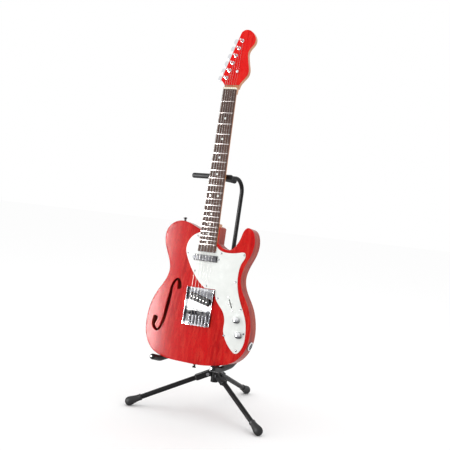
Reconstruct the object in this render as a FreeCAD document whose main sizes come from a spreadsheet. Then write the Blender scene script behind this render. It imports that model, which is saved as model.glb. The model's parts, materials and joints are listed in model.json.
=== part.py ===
import FreeCAD, Part
import math
import os
import re

# A semi-hollow, single-cut electric guitar held on a folding tripod stand.
# Frame: +Z up, the floor at z = 0, the guitar's face towards -Y, its treble side towards +X.
# Millimetres and degrees.

Vector = FreeCAD.Vector
Placement = FreeCAD.Placement
Rotation = FreeCAD.Rotation
X_AXIS = Vector(1, 0, 0)
Y_AXIS = Vector(0, 1, 0)
Z_AXIS = Vector(0, 0, 1)

doc = FreeCAD.newDocument("GuitarOnStand")

# ---------------------------------------------------------------- driving dimensions
DIMENSIONS = {
    # how the guitar sits on the stand
    "guitar_lean": 8.4,             # the guitar leans back by this
    "guitar_tilt": 0.5,             # and turns this much in its own plane, head to the bass side
    "guitar_side_offset": 15.3,     # the guitar stands this far to the treble side of the stand
    "body_bottom_height": 175.9,    # middle of the body's bottom edge above the floor
    "hub_behind_guitar": 171.6,     # hub axis behind the middle of the body's bottom edge
    "clearance": 0.3,               # between pieces that move past each other
    "running_fit": 0.06,            # radial play of a shaft in its bore
    # body
    "scale_length": 648.0,
    "body_width": 332.0,
    "body_end": 796.0,              # bottom of the body, from the nut
    "body_thickness": 44.5,
    "top_thickness": 4.0,
    "edge_radius": 3.0,
    "back_wall": 6.5,
    "tongue_start": 399.0,          # front edge of the wood under the neck's heel
    "f_hole_scale": 1.0,             # width of the sound hole's stroke
    # neck
    "nut_width": 42.0,
    "twelfth_fret_width": 51.5,
    "neck_end": 471.0,
    "heel_start": 393.0,
    "heel_depth": 16.0,             # pocket depth below the face
    "heel_width": 56.4,
    "fingerboard_base": 3.0,        # underside of the fingerboard above the face
    "fingerboard_thickness": 6.0,
    "fingerboard_radius": 184.0,
    "fingerboard_end": 477.0,
    "neck_depth_at_nut": 14.5,      # wood below the fingerboard
    "neck_depth_at_twelfth": 16.5,
    "truss_rod_radius": 3.0,
    "fret_count": 21,
    "fret_height": 1.1,
    "fret_crown": 2.2,
    "dot_radius": 3.2,
    "nut_length": 5.0,
    "nut_height": 8.3,
    "headstock_thickness": 14.0,
    "headstock_drop": 3.0,          # headstock face below the body's face plane
    "facing_thickness": 1.5,
    # strings
    "string_spread_nut": 35.0,
    "string_spread_bridge": 52.5,
    "string_height_nut": 10.6,
    "string_height_saddle": 14.2,
    "ferrule_line": 672.0,
    "ferrule_radius": 4.0,
    # tuners
    "tuner_pitch": 23.4,
    "tuner_inset": 13.5,            # string post from the headstock's straight edge
    "string_post_radius": 3.0,
    "string_post_height": 15.0,     # above the headstock face
    "tuner_housing_length": 20.0,
    "tuner_housing_width": 14.0,
    "tuner_housing_height": 10.0,
    "tuner_wall": 1.4,
    "tuner_bushing_radius": 4.3,
    "tuner_shaft_radius": 1.7,
    "tuner_button_reach": 11.0,     # button centre outside the straight edge
    # pickguard and controls
    "pickguard_thickness": 2.3,
    "small_screw_head": 2.9,
    "neck_pickup_line": 494.7,
    "neck_pickup_length": 73.0,
    "neck_pickup_width": 17.5,
    "neck_pickup_top": 9.0,
    "pot_radius": 11.5,
    "pot_bushing_radius": 4.7,
    "pot_shaft_radius": 3.0,
    "knob_radius": 9.3,
    "knob_height": 15.0,
    "switch_travel": 11.0,
    "lever_thickness": 1.6,
    # bridge
    "bridge_width": 85.7,
    "bridge_length": 106.5,
    "bridge_front": 581.0,
    "bridge_sheet": 1.3,
    "bridge_wall_height": 9.0,
    "bridge_pickup_line": 613.0,
    "bridge_pickup_slant": 14.0,
    "bridge_pickup_length": 68.0,
    "bridge_pickup_width": 20.0,
    "saddle_width": 9.9,
    "saddle_length": 15.0,
    "intonation_radius": 1.2,
    "intonation_offset": 2.7,       # screw axis beside the string
    # hardware of the body
    "plate_length": 64.0,
    "plate_width": 51.0,
    "plate_thickness": 1.6,
    "neck_screw_radius": 2.2,
    "jack_cup_radius": 11.0,
    "jack_bore_radius": 3.25,
    "strap_button_radius": 5.6,
    # stand
    "foot_circle": 252.5,           # bulb centres from the hub axis
    "front_leg_angle": 58.0,        # each front leg from straight ahead
    "foot_radius": 13.5,
    "foot_sink": 0.5,               # flat cut on the bulb's underside
    "foot_length": 52.0,
    "leg_radius": 7.5,
    "tube_wall": 1.5,
    "leg_fold": 62.0,
    "hub_radius": 11.5,
    "hub_bottom": 88.0,
    "hub_top": 134.0,
    "lug_thickness": 6.0,
    "lug_reach": 23.0,              # hinge pin from the hub axis
    "pin_height": 112.0,
    "pin_radius": 3.0,
    "clevis_length": 44.0,
    "clevis_width": 20.0,
    "post_radius": 8.0,
    "post_bore": 6.8,
    "lower_post_length": 300.0,
    "collar_radius": 12.5,
    "collar_height": 36.0,
    "upper_radius": 6.35,
    "upper_start": 130.0,           # lower end of the upper post, along the post
    "neck_rest_height": 712.0,      # middle of the neck rest above the floor
    "post_bend": 40.0,
    "post_turn": 7.0,               # the upper post is turned this much towards the bass side
    "rest_length": 134.0,
    "rest_rod_radius": 4.5,
    "rest_sleeve_radius": 7.7,
    "clamp_knob_radius": 12.0,
    "arm_spacing": 194.0,           # between the two cradle arms
    "arm_reach": 218.0,             # cradle tips in front of the hub axis
    "arm_tip_rise": 11.5,
    "arm_rear_rise": 13.0,
    "arm_gap": 0.45,                # between the body's bottom edge and the arm sleeves
    "arm_sleeve_radius": 8.5,
    "arm_rod_radius": 4.5,
    "yoke_height": 208.0,
}

sheet = doc.addObject("Spreadsheet::Sheet", "Sizes")
for row, (name, amount) in enumerate(DIMENSIONS.items(), start=1):
    sheet.set("A%d" % row, name)
    sheet.set("B%d" % row, str(amount))
    sheet.setAlias("B%d" % row, name)
doc.recompute()


class Sizes:
    """The spreadsheet's values as attributes."""
    def __getattr__(self, name):
        return float(sheet.get(name))


S = Sizes()
nodes = []


# ---------------------------------------------------------------- helpers
def bound(text):
    """An expression in which each dimension's name points at its cell."""
    def cell(match):
        word = match.group(0)
        return "Sizes." + word if word in DIMENSIONS else word
    return re.sub(r"[a-z_]+", cell, text)


def bind(thing, **expressions):
    for prop, text in expressions.items():
        thing.setExpression(prop, bound(str(text)))
    return thing


def primitive(kind, place, **expressions):
    thing = bind(doc.addObject("Part::" + kind, kind), **expressions)
    thing.recompute()
    thing.Placement = place
    return thing


def turned(axis, angle, centre=Vector(0, 0, 0)):
    return Placement(centre, Rotation(axis, angle))


def moved(centre):
    return Placement(centre, Rotation())


def along(start, direction):
    """A placement whose Z runs along the direction from the start."""
    return Placement(start, Rotation(Z_AXIS, direction))


def cylinder(radius, height, place):
    return primitive("Cylinder", place, Radius=radius, Height=height)


def cone(radius_a, radius_b, height, place):
    return primitive("Cone", place, Radius1=radius_a, Radius2=radius_b, Height=height)


def ball(radius, centre):
    return primitive("Sphere", moved(centre), Radius=radius)


def block(length, width, height, place, base=False):
    """A box centred on its placement, or standing on it when base is true."""
    thing = primitive("Box", place, Length=length, Width=width, Height=height)
    low = 0 if base else -thing.Height.Value / 2
    shift = Vector(-thing.Length.Value / 2, -thing.Width.Value / 2, low)
    thing.Placement = place.multiply(moved(shift))
    return thing


def fuse(*things):
    result = doc.addObject("Part::MultiFuse", "Fuse")
    result.Shapes = list(things)
    return result


def cut(base, *tools):
    result = doc.addObject("Part::Cut", "Cut")
    result.Base = base
    result.Tool = tools[0] if len(tools) == 1 else fuse(*tools)
    return result


def common(*things):
    result = doc.addObject("Part::MultiCommon", "Common")
    result.Shapes = list(things)
    return result


def group(things):
    """Separate solids that share one node."""
    result = doc.addObject("Part::Compound", "Group")
    result.Links = list(things)
    return result


def solid(shape):
    """A shape worked out by this file's own code."""
    feature = doc.addObject("Part::Feature", "Solid")
    feature.Shape = shape
    return feature


def node(thing, label, place=None):
    thing.Label = label
    if place is not None:
        thing.Placement = place
    nodes.append(thing)
    return thing


def unit(vector):
    return Vector(vector).normalize()


def rounded_path(points, bend):
    """A wire of straight runs joined by tangent arcs; bend is one radius, or one per corner."""
    bends = bend if isinstance(bend, (list, tuple)) else [bend] * (len(points) - 2)
    edges = []
    last = points[0]
    for before, corner, after, radius in zip(points, points[1:], points[2:], bends):
        back = unit(before - corner)
        ahead = unit(after - corner)
        half_turn = (math.pi - back.getAngle(ahead)) / 2
        leave = radius * math.tan(half_turn)
        first = corner + back * leave
        final = corner + ahead * leave
        inward = unit(back + ahead)
        middle = corner + inward * (radius / math.cos(half_turn) - radius)
        edges.append(Part.LineSegment(last, first).toShape())
        edges.append(Part.Arc(first, middle, final).toShape())
        last = final
    edges.append(Part.LineSegment(last, points[-1]).toShape())
    return Part.Wire(edges)


def rod_along(path, radius):
    """A solid of round section swept along a wire."""
    start = path.Edges[0]
    direction = start.tangentAt(start.FirstParameter)
    section = Part.Wire(Part.makeCircle(radius, start.valueAt(start.FirstParameter), direction))
    return path.makePipeShell([section], True, True)


def revolved(profile):
    """A solid turned about Z from (radius, height) points that start and end on the axis."""
    corners = [Vector(radius, 0, height) for radius, height in profile]
    face = Part.Face(Part.makePolygon(corners + corners[:1]))
    return face.revolve(Vector(0, 0, 0), Z_AXIS, 360)


# ---------------------------------------------------------------- sketch and body helpers
def on_face(across, distance, height=0.0):
    """A point of the guitar's own frame: across to the treble side, distance from the nut."""
    return Vector(across, -distance, height)


def flat(points):
    return [on_face(across, distance) for across, distance in points]


def smooth(points, closed=False):
    curve = Part.BSplineCurve()
    curve.interpolate(Points=flat(points), PeriodicFlag=closed)
    return curve


def lines(points, closed=False):
    corners = flat(points)
    if closed:
        corners.append(corners[0])
    return [Part.LineSegment(a, b) for a, b in zip(corners, corners[1:])]


def circle(across, distance, radius):
    return Part.Circle(on_face(across, distance), Z_AXIS, radius)


def plane_of(body, role):
    return next(f for f in body.Origin.OriginFeatures if f.Role == role)


def sketch_on(body, role, offset, curves):
    sketch = body.newObject("Sketcher::SketchObject", "Sketch")
    sketch.AttachmentSupport = (plane_of(body, role), [""])
    sketch.MapMode = "FlatFace"
    sketch.AttachmentOffset = Placement(Vector(0, 0, offset), Rotation())
    for curve in curves:
        sketch.addGeometry(curve, False)
    return sketch


def pad(body, curves, low, length, role="XY_Plane", midplane=False):
    """Adds a prism on a sketch at height low; its length is an expression."""
    feature = body.newObject("PartDesign::Pad", "Pad")
    feature.Profile = sketch_on(body, role, low, curves)
    bind(feature, Length=length)
    feature.Midplane = midplane
    return feature


def pocket(body, curves, high, depth, role="XY_Plane"):
    """Cuts a prism down from a sketch at height high."""
    feature = body.newObject("PartDesign::Pocket", "Pocket")
    feature.Profile = sketch_on(body, role, high, curves)
    bind(feature, Length=depth)
    return feature


def new_body(name):
    return doc.addObject("PartDesign::Body", name)


def dressed(body, kind, faces_at, amount):
    """Rounds or bevels the outer edges at one height of the body."""
    doc.recompute()
    base = body.Tip
    names = []
    for index, edge in enumerate(base.Shape.Edges, start=1):
        box = edge.BoundBox
        flat_here = abs(box.ZMin - faces_at) < 0.01 and abs(box.ZMax - faces_at) < 0.01
        if flat_here and edge.Length > 60:
            names.append("Edge%d" % index)
    feature = body.newObject("PartDesign::" + kind, kind)
    feature.Base = (base, names)
    bind(feature, **{"Radius" if kind == "Fillet" else "Size": amount})
    return feature


# ---------------------------------------------------------------- places
lean = S.guitar_lean
guitar_turn = Rotation(X_AXIS, 90 - lean).multiply(Rotation(Z_AXIS, S.guitar_tilt))
tip_front = S.arm_reach + S.arm_sleeve_radius
foot_back = S.foot_circle + S.foot_radius
hub_y = (tip_front - foot_back) / 2
bottom_middle = Vector(S.guitar_side_offset, hub_y - S.hub_behind_guitar, S.body_bottom_height)
guitar = Placement(bottom_middle, guitar_turn).multiply(
    moved(-on_face(0, S.body_end, -S.body_thickness / 2)))

twelfth = S.scale_length / 2
neck_taper = math.degrees(math.atan((S.neck_depth_at_twelfth - S.neck_depth_at_nut) / twelfth))
post_lean = lean - neck_taper
hub_middle = Vector(0, hub_y, (S.hub_bottom + S.hub_top) / 2)
post = Placement(hub_middle, Rotation(X_AXIS, -post_lean))


def fret_distance(number):
    return S.scale_length * (1 - 2 ** (-number / 12))


def board_half_width(distance):
    grow = (S.twelfth_fret_width - S.nut_width) / twelfth
    return (S.nut_width + grow * distance) / 2


# ---------------------------------------------------------------- body of the guitar
HALF = S.body_width / 2 / 166
END = S.body_end
SHOULDER = 29.0
# outline from the bass side of the neck round to the treble cutaway: (across, from the nut)
OUTLINE = [
    (-SHOULDER, 414), (-58, 403), (-88, 394), (-110, 396), (-128, 406), (-141, 424),
    (-144, 443), (-138, 472), (-123, 505), (-114, 538), (-124, 573), (-147, 612), (-161, 650),
    (-166, 692), (-159, 740), (-135, 774), (-90, 792), (-30, END), (30, END),
    (88, 787), (130, 770), (157, 736), (166, 692), (161, 650), (146, 610), (124, 573), (115, 540),
    (122, 505), (136, 472), (142, 443), (139, 418), (128, 400), (115, 396), (105, 405),
    (99, 422), (88, 447), (70, 463), (49, 461), (SHOULDER, 448),
]
OUTLINE = [(across * HALF if abs(across) > SHOULDER else across, d) for across, d in OUTLINE]
TONGUE = [
    (SHOULDER, 448), (SHOULDER, S.tongue_start + 4), (SHOULDER - 4, S.tongue_start),
    (4 - SHOULDER, S.tongue_start), (-SHOULDER, S.tongue_start + 4), (-SHOULDER, 414),
]
POCKET_HALF = S.heel_width / 2
NECK_POCKET = [
    (-POCKET_HALF, S.tongue_start - 10), (POCKET_HALF, S.tongue_start - 10),
    (POCKET_HALF, S.neck_end), (-POCKET_HALF, S.neck_end),
]
BASS_CHAMBER = [
    (-62, 424), (-100, 412), (-126, 438), (-118, 480), (-99, 538), (-122, 600), (-146, 665),
    (-143, 730), (-105, 772), (-60, 772), (-50, 700), (-54, 600), (-60, 500),
]
TREBLE_CHAMBER = [
    (62, 560), (98, 556), (122, 605), (144, 655), (146, 712), (118, 755), (70, 770), (52, 715),
    (54, 630),
]
# middle line of the sound hole's slender S: (across, from the nut, half width)
F_HOLE = [
    (-75, 592, 4.0), (-73.5, 579, 6.6), (-82, 565, 4.0), (-93, 576, 4.2), (-98.5, 604, 5.2),
    (-102.5, 638, 6.0), (-106.5, 670, 5.6), (-113.5, 701, 4.6), (-126, 717, 4.0),
    (-139, 706, 5.2), (-138, 691, 7.8), (-136, 678, 5.2),
]
NECK_ROUT = (S.neck_pickup_length + 16, S.neck_pickup_width + 6)
BRIDGE_ROUT = (S.bridge_pickup_length + 6, S.bridge_pickup_width + 6)
VOLUME_PLACE = (124.0, 655.5)
TONE_PLACE = (136.5, 696.0)
SWITCH_PLACE = (96.5, 613.0)
CONTROL_ANGLE = math.degrees(math.atan2(TONE_PLACE[0] - SWITCH_PLACE[0],
                                        TONE_PLACE[1] - SWITCH_PLACE[1]))
CONTROL_ROUT = [
    (84, 583), (98, 588), (112, 612), (131, 642), (146, 672), (151, 697), (143, 712), (126, 712),
    (113, 693), (104, 668), (88, 640), (74, 608), (72, 590),
]
SCREW_INSET = 7.0
NECK_SCREWS = [
    (side * (S.plate_width / 2 - SCREW_INSET), S.tongue_start + 3 + end)
    for side in (-1, 1) for end in (SCREW_INSET, S.plate_length - SCREW_INSET)]


def rectangle(middle, size, angle=0.0):
    """Corners of a turned rectangle in the plane of the face."""
    turn = math.radians(angle)
    corners = []
    for a, b in ((-1, -1), (1, -1), (1, 1), (-1, 1)):
        x = a * size[0] / 2
        y = b * size[1] / 2
        corners.append((middle[0] + x * math.cos(turn) + y * math.sin(turn),
                        middle[1] - x * math.sin(turn) + y * math.cos(turn)))
    return corners


def string_across(number, distance):
    """Across position of string 0 (bass) to 5 (treble) at a distance from the nut."""
    spread = S.string_spread_nut
    spread += (S.string_spread_bridge - S.string_spread_nut) * distance / S.scale_length
    return spread * (number / 5 - 0.5)


def outline_curves():
    return [smooth(OUTLINE)] + lines(TONGUE)


ROUT_DEPTH = 18.0
FERRULE_LENGTH = 9.0
STRING_HOLE = 1.6

back = new_body("back_blank")
BACK = -S.body_thickness
UNDER_TOP = -S.top_thickness
pad(back, outline_curves(), BACK, "body_thickness - top_thickness")
dressed(back, "Fillet", BACK, "edge_radius")
pocket(back, [smooth(BASS_CHAMBER, True)], UNDER_TOP, "body_thickness - top_thickness - back_wall")
pocket(back, [smooth(TREBLE_CHAMBER, True)], UNDER_TOP, "body_thickness - top_thickness - back_wall")
pocket(back, lines(NECK_POCKET, True), UNDER_TOP, "heel_depth - top_thickness")
pocket(back, lines(rectangle((0, S.neck_pickup_line), NECK_ROUT), True), UNDER_TOP,
       "%g - top_thickness" % ROUT_DEPTH)
pocket(back, lines(rectangle((0, S.bridge_pickup_line), BRIDGE_ROUT, -S.bridge_pickup_slant), True),
       UNDER_TOP, "%g - top_thickness" % ROUT_DEPTH)
pocket(back, [smooth(CONTROL_ROUT, True)], UNDER_TOP, "body_thickness - top_thickness - back_wall")
pocket(back, [circle(x, y, S.neck_screw_radius) for x, y in NECK_SCREWS], 0, "body_thickness + 1")
pocket(back, [circle(string_across(n, S.ferrule_line), S.ferrule_line, STRING_HOLE)
              for n in range(6)], 0, "body_thickness + 1")
pocket(back, [circle(string_across(n, S.ferrule_line), S.ferrule_line, S.ferrule_radius)
              for n in range(6)], BACK + FERRULE_LENGTH, FERRULE_LENGTH + 1)


def ribbon(line, scale):
    """Outline at both flanks of a middle line of varying half width, closed round its ends."""
    left = []
    right = []
    for index, (across, distance, half) in enumerate(line):
        before = line[max(index - 1, 0)]
        after = line[min(index + 1, len(line) - 1)]
        run = math.hypot(after[0] - before[0], after[1] - before[1])
        normal = ((after[1] - before[1]) / run, (before[0] - after[0]) / run)
        left.append((across + normal[0] * half * scale, distance + normal[1] * half * scale))
        right.append((across - normal[0] * half * scale, distance - normal[1] * half * scale))
    return left + right[::-1]


top = new_body("body_top")
pad(top, outline_curves(), UNDER_TOP, "top_thickness")
dressed(top, "Fillet", 0, "edge_radius")
THROUGH = "top_thickness + 1"
pocket(top, [smooth(ribbon(F_HOLE, S.f_hole_scale), True)], 0, THROUGH)
pocket(top, lines(NECK_POCKET, True), 0, THROUGH)
pocket(top, lines(rectangle((0, S.neck_pickup_line), NECK_ROUT), True), 0, THROUGH)
pocket(top, lines(rectangle((0, S.bridge_pickup_line), BRIDGE_ROUT, -S.bridge_pickup_slant), True),
       0, THROUGH)
pocket(top, [smooth(CONTROL_ROUT, True)], 0, THROUGH)
pocket(top, [circle(string_across(n, S.ferrule_line), S.ferrule_line, STRING_HOLE)
             for n in range(6)], 0, THROUGH)
node(top, "body_top", guitar)

# ---------------------------------------------------------------- jack and strap buttons
JACK_POINT = (163.5 * HALF, 722.0)
JACK_NORMAL = unit(Vector(0.975, -0.222, 0))
jack_place = along(on_face(JACK_POINT[0], JACK_POINT[1], BACK / 2), JACK_NORMAL)
CUP_DEPTH = 9.0
cup_seat = jack_place.multiply(moved(Vector(0, 0, -CUP_DEPTH)))
back_drilled = cut(
    back,
    cylinder("jack_cup_radius", 40, cup_seat),
    cylinder("jack_bore_radius + 2.6", 40, cup_seat.multiply(moved(Vector(0, 0, -39)))))
node(back_drilled, "body_back", guitar)
cup = fuse(cylinder("jack_cup_radius", CUP_DEPTH, cup_seat),
           cone("jack_cup_radius + 1.8", "jack_cup_radius + 0.6", 1.6, jack_place.multiply(
               moved(Vector(0, 0, 0.6)))),
           cylinder("jack_cup_radius", 1.0, jack_place))
hollow = cylinder("jack_cup_radius - 1.6", 20, cup_seat.multiply(moved(Vector(0, 0, 1.6))))
cup_hole = cylinder("jack_bore_radius + 1.5", 10, cup_seat.multiply(
    moved(Vector(0, 0, -4))))
node(cut(cup, hollow, cup_hole), "jack_cup", guitar)
socket_base = cup_seat.multiply(moved(Vector(0, 0, -24)))
socket_top = cup_seat.multiply(moved(Vector(0, 0, 1.6)))
socket = fuse(cylinder("jack_bore_radius + 1.5", 27.6, socket_base),
              cylinder("jack_bore_radius + 2.6", 22, socket_base),
              cylinder("jack_bore_radius + 3.4", 2.0, socket_top))
node(cut(socket, cylinder("jack_bore_radius", 40, socket_base.multiply(
    moved(Vector(0, 0, 1.5))))), "jack_socket", guitar)


def strap_button(place):
    radius = S.strap_button_radius
    profile = [(0, 0), (radius * 0.8, 0), (radius * 0.8, 1.5), (radius * 0.65, 3.5),
               (radius * 0.65, 8.5), (radius, 10.5), (radius, 12), (radius * 0.8, 13), (0, 13)]
    button = solid(revolved(profile))
    button.Placement = place
    return button


button_seats = [
    (on_face(0, END - 0.6, BACK / 2), Vector(0, -1, 0)),
    (on_face(-98 * HALF, 395.0, BACK / 2), unit(Vector(-0.04, 1, 0))),
]
buttons = cut(group([strap_button(along(*seat)) for seat in button_seats]), back)
node(buttons, "strap_buttons", guitar)

# ---------------------------------------------------------------- neck
HEAD_EDGE_LOW = (-38.0, -30.0)
HEAD_EDGE_HIGH = (6.0, -170.0)
HEADSTOCK = [
    [(-S.nut_width / 2, -6), (-24, -14), (-31, -24), HEAD_EDGE_LOW],
    [HEAD_EDGE_LOW, HEAD_EDGE_HIGH],
    [HEAD_EDGE_HIGH, (13, -179), (24, -182), (38, -178), (50, -166), (55, -151), (51, -137),
     (41, -124), (37, -112), (39, -96), (43, -79), (47, -60), (45, -47), (36, -34),
     (25, -20), (S.nut_width / 2, -6)],
    [(S.nut_width / 2, -6), (-S.nut_width / 2, -6)],
]
HEAD_FACE = -S.headstock_drop
HEAD_BACK = HEAD_FACE - S.headstock_thickness


def headstock_curves():
    low_side, edge, round_side, base = HEADSTOCK
    return [smooth(low_side)] + lines(edge) + [smooth(round_side)] + lines(base)


def neck_section(distance, depth):
    """Half-round section of the shaft, flat under the fingerboard."""
    half = board_half_width(distance)
    level = S.fingerboard_base
    shoulder = level - 2.0
    bow = Part.ArcOfEllipse(Part.Ellipse(Vector(0, shoulder, 0), half, depth - 2.0),
                            math.pi, 2 * math.pi)
    return [
        Part.LineSegment(Vector(-half, level, 0), Vector(half, level, 0)),
        Part.LineSegment(Vector(half, level, 0), Vector(half, shoulder, 0)),
        bow,
        Part.LineSegment(Vector(-half, shoulder, 0), Vector(-half, level, 0)),
    ]


def neck_depth(distance):
    grow = S.neck_depth_at_twelfth - S.neck_depth_at_nut
    return S.neck_depth_at_nut + grow * distance / twelfth


neck = new_body("neck_blank")
shaft_end = S.heel_start + 6
shaft = neck.newObject("PartDesign::AdditiveLoft", "Shaft")
shaft.Profile = sketch_on(neck, "XZ_Plane", -4, neck_section(-4, neck_depth(-4)))
shaft.Sections = [sketch_on(neck, "XZ_Plane", shaft_end, neck_section(shaft_end,
                                                                      neck_depth(shaft_end)))]
HEEL_HALF = POCKET_HALF - 0.1
heel = [(-HEEL_HALF, S.heel_start), (HEEL_HALF, S.heel_start), (HEEL_HALF, S.neck_end - 0.1),
        (-HEEL_HALF, S.neck_end - 0.1)]
pad(neck, lines(heel, True), -S.heel_depth, "heel_depth + fingerboard_base")
pad(neck, headstock_curves(), HEAD_BACK, "headstock_thickness - facing_thickness")
ramp = [Vector(-7, S.fingerboard_base, 0), Vector(-18, HEAD_FACE - S.facing_thickness - 1, 0)]
ramp_low = HEAD_BACK + 3
side = [
    Part.LineSegment(ramp[0], Vector(12, S.fingerboard_base, 0)),
    Part.LineSegment(Vector(12, S.fingerboard_base, 0), Vector(12, -S.neck_depth_at_nut + 6, 0)),
    Part.LineSegment(Vector(12, -S.neck_depth_at_nut + 6, 0), Vector(-18, ramp_low, 0)),
    Part.LineSegment(Vector(-18, ramp_low, 0), ramp[1]),
    Part.Arc(ramp[1], Vector(-11.5, -1.6, 0), ramp[0]),
]
for curve in side:
    curve.rotate(Placement(Vector(0, 0, 0), Rotation(Y_AXIS, 180)))
pad(neck, side, 0, "nut_width - 2", role="YZ_Plane", midplane=True)
ROD_END = 452.0
channel = rectangle((0, ROD_END / 2 + 4), (2 * S.truss_rod_radius, ROD_END))
pocket(neck, lines(channel, True), S.fingerboard_base, "truss_rod_radius * 2 + 0.5")


def tuner_place(number):
    """Foot of string post 0 (bass) to 5 (treble) on the headstock's face plane."""
    edge = on_face(*HEAD_EDGE_HIGH) - on_face(*HEAD_EDGE_LOW)
    direction = unit(edge)
    outward = Vector(-direction.y, direction.x, 0)
    first = (edge.Length - 5 * S.tuner_pitch) / 2 - 3.5
    spot = on_face(*HEAD_EDGE_LOW) + direction * (first + number * S.tuner_pitch)
    return spot - outward * S.tuner_inset, direction, outward


neck_drilled = cut(neck, *[
    cylinder("tuner_bushing_radius", 40, moved(tuner_place(n)[0] + Vector(0, 0, -30)))
    for n in range(6)])
screw_holes = [
    cylinder("neck_screw_radius", "body_thickness - 6", moved(on_face(x, y, BACK)))
    for x, y in NECK_SCREWS]
node(cut(neck_drilled, *screw_holes), "neck", guitar)

rod = cylinder("truss_rod_radius", ROD_END - 2, along(
    on_face(0, 5, S.fingerboard_base - S.truss_rod_radius - 0.25), Vector(0, -1, 0)))
node(rod, "truss_rod", guitar.multiply(rod.Placement))

facing_blank = new_body("facing_blank")
pad(facing_blank, headstock_curves(), HEAD_FACE - S.facing_thickness, "facing_thickness")
facing = cut(
    facing_blank,
    block(80, 40, 20, moved(on_face(0, 4, HEAD_FACE))),
    *[cylinder("tuner_bushing_radius", 40, moved(tuner_place(n)[0] + Vector(0, 0, -30)))
      for n in range(6)])
node(facing, "headstock_facing", guitar)

# ---------------------------------------------------------------- fingerboard, frets, dots, nut
BOARD_TOP = S.fingerboard_base + S.fingerboard_thickness
crown_axis = along(on_face(0, -20, BOARD_TOP - S.fingerboard_radius), Vector(0, -1, 0))
crown = cylinder("fingerboard_radius", 520, crown_axis)
board = new_body("fingerboard_blank")
pad(board, lines([(-board_half_width(0), 0),
                  (board_half_width(0), 0),
                  (board_half_width(S.fingerboard_end), S.fingerboard_end),
                  (-board_half_width(S.fingerboard_end), S.fingerboard_end)], True),
    S.fingerboard_base, "fingerboard_thickness + 1")


def dot_spots():
    for fret in (3, 5, 7, 9, 12, 15, 17, 19, 21):
        middle = (fret_distance(fret - 1) + fret_distance(fret)) / 2
        for across in ((-12.5, 12.5) if fret == 12 else (0,)):
            yield on_face(across, middle, BOARD_TOP - 2)


dots = group([cylinder("dot_radius", 4, moved(spot)) for spot in dot_spots()])
node(cut(common(board, crown), dots), "fingerboard", guitar)
node(common(dots, crown), "inlay_dots", guitar)

fret_ring = cut(cylinder("fingerboard_radius + fret_height", 520, crown_axis), crown)
fret_blocks = group([
    block(2 * board_half_width(fret_distance(n)) - 0.6, "fret_crown", 12,
          moved(on_face(0, fret_distance(n), BOARD_TOP)))
    for n in range(1, int(S.fret_count) + 1)])
node(common(fret_ring, fret_blocks), "frets", guitar)

NUT_BACK = -S.nut_length
nut_blank = block("nut_width", "nut_length - 0.05", "nut_height",
                  moved(on_face(0, NUT_BACK / 2 - 0.03, S.fingerboard_base)), base=True)
STRING_RADII = [0.58, 0.46, 0.33, 0.25, 0.22, 0.2]
NUT_EDGE = -0.3                     # the strings bend over the nut's front edge
WRAP_LOW = 3.4                      # string windings above the headstock face
GUIDE_SPOT = on_face(12.8, -55, HEAD_FACE)
GUIDE_LEVEL = 3.6
GUIDED = {4: -3.0, 5: 3.0}          # strings under the guide, and their side of its post


def beyond_nut(number):
    """Where a string goes next after the nut: under the guide, or to its tuner's windings."""
    if number in GUIDED:
        return GUIDE_SPOT + Vector(GUIDED[number], 0, GUIDE_LEVEL)
    return tuner_place(number)[0] + Vector(0, 0, WRAP_LOW + 1.6)


slots = []
for n, radius in enumerate(STRING_RADII):
    start = on_face(string_across(n, 0), NUT_EDGE, S.string_height_nut)
    heading = unit(beyond_nut(n) - start)
    floor_point = start - Vector(0, 0, radius + 0.3)
    slots.append(block(2 * radius + 0.5, 14, 6, Placement(floor_point, Rotation(Y_AXIS, heading)),
                       base=True))
node(cut(nut_blank, *slots), "nut", guitar)

# ---------------------------------------------------------------- pickguard
# outline from the bass corner at the neck round the end of the neck to the treble side
GUARD_NECK = [(-SHOULDER, 423), (-SHOULDER, S.neck_end + 1), (SHOULDER, S.neck_end + 1),
              (SHOULDER, 458)]
GUARD_HORN = [(SHOULDER, 458), (40, 467), (57, 472), (82, 472), (104, 468), (119, 468), (122, 476),
              (114, 495), (108, 517), (109, 557), (127, 609), (149, 657), (154, 692), (147, 733),
              (133, 747), (116, 738), (95, 712), (86, 688), (86, 668), (75, 636), (52, 610),
              (44.5, 590), (44.2, 579.5)]
GUARD_BASS = [(10, 579.5), (-15, 560), (-35, 537), (-57, 502), (-67, 472), (-60, 446),
              (-SHOULDER, 423)]


def guard_curves():
    corner = GUARD_HORN[-1]
    return (lines(GUARD_NECK) + [smooth(GUARD_HORN)] + lines([corner, GUARD_BASS[0]])
            + [smooth(GUARD_BASS)])


guard = new_body("pickguard")
pad(guard, guard_curves(), 0.02, "pickguard_thickness")
pocket(guard, lines(rectangle((0, S.neck_pickup_line),
                              (S.neck_pickup_length + 0.6, S.neck_pickup_width + 0.6)), True),
       S.pickguard_thickness + 1, 4)
pocket(guard, [circle(*VOLUME_PLACE, S.pot_bushing_radius), circle(*TONE_PLACE, S.pot_bushing_radius)],
       S.pickguard_thickness + 1, 4)
pocket(guard, lines(rectangle(SWITCH_PLACE, (3.2, 2 * S.switch_travel + 4), CONTROL_ANGLE), True),
       S.pickguard_thickness + 1, 4)
node(guard, "pickguard", guitar)
GUARD_TOP = S.pickguard_thickness + 0.02

PICKUP_SCREWS = [(-41.0, S.neck_pickup_line), (41.0, S.neck_pickup_line)]
GUARD_SCREWS = [(-37, 434), (-60, 486), (-30, 534), (13, 573), (55, 603), (90, 703), (133, 739),
                (149, 690), (130, 625), (103, 551), (118, 474), (47, 476)]


def screw(head_radius, head_height, place):
    """Domed head on its seat."""
    return cone(head_radius, "(%s) * 0.7" % head_radius, head_height, place)


node(group([screw("small_screw_head", 1.1, moved(on_face(x, y, GUARD_TOP)))
            for x, y in GUARD_SCREWS + PICKUP_SCREWS]), "pickguard_screws", guitar)

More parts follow.
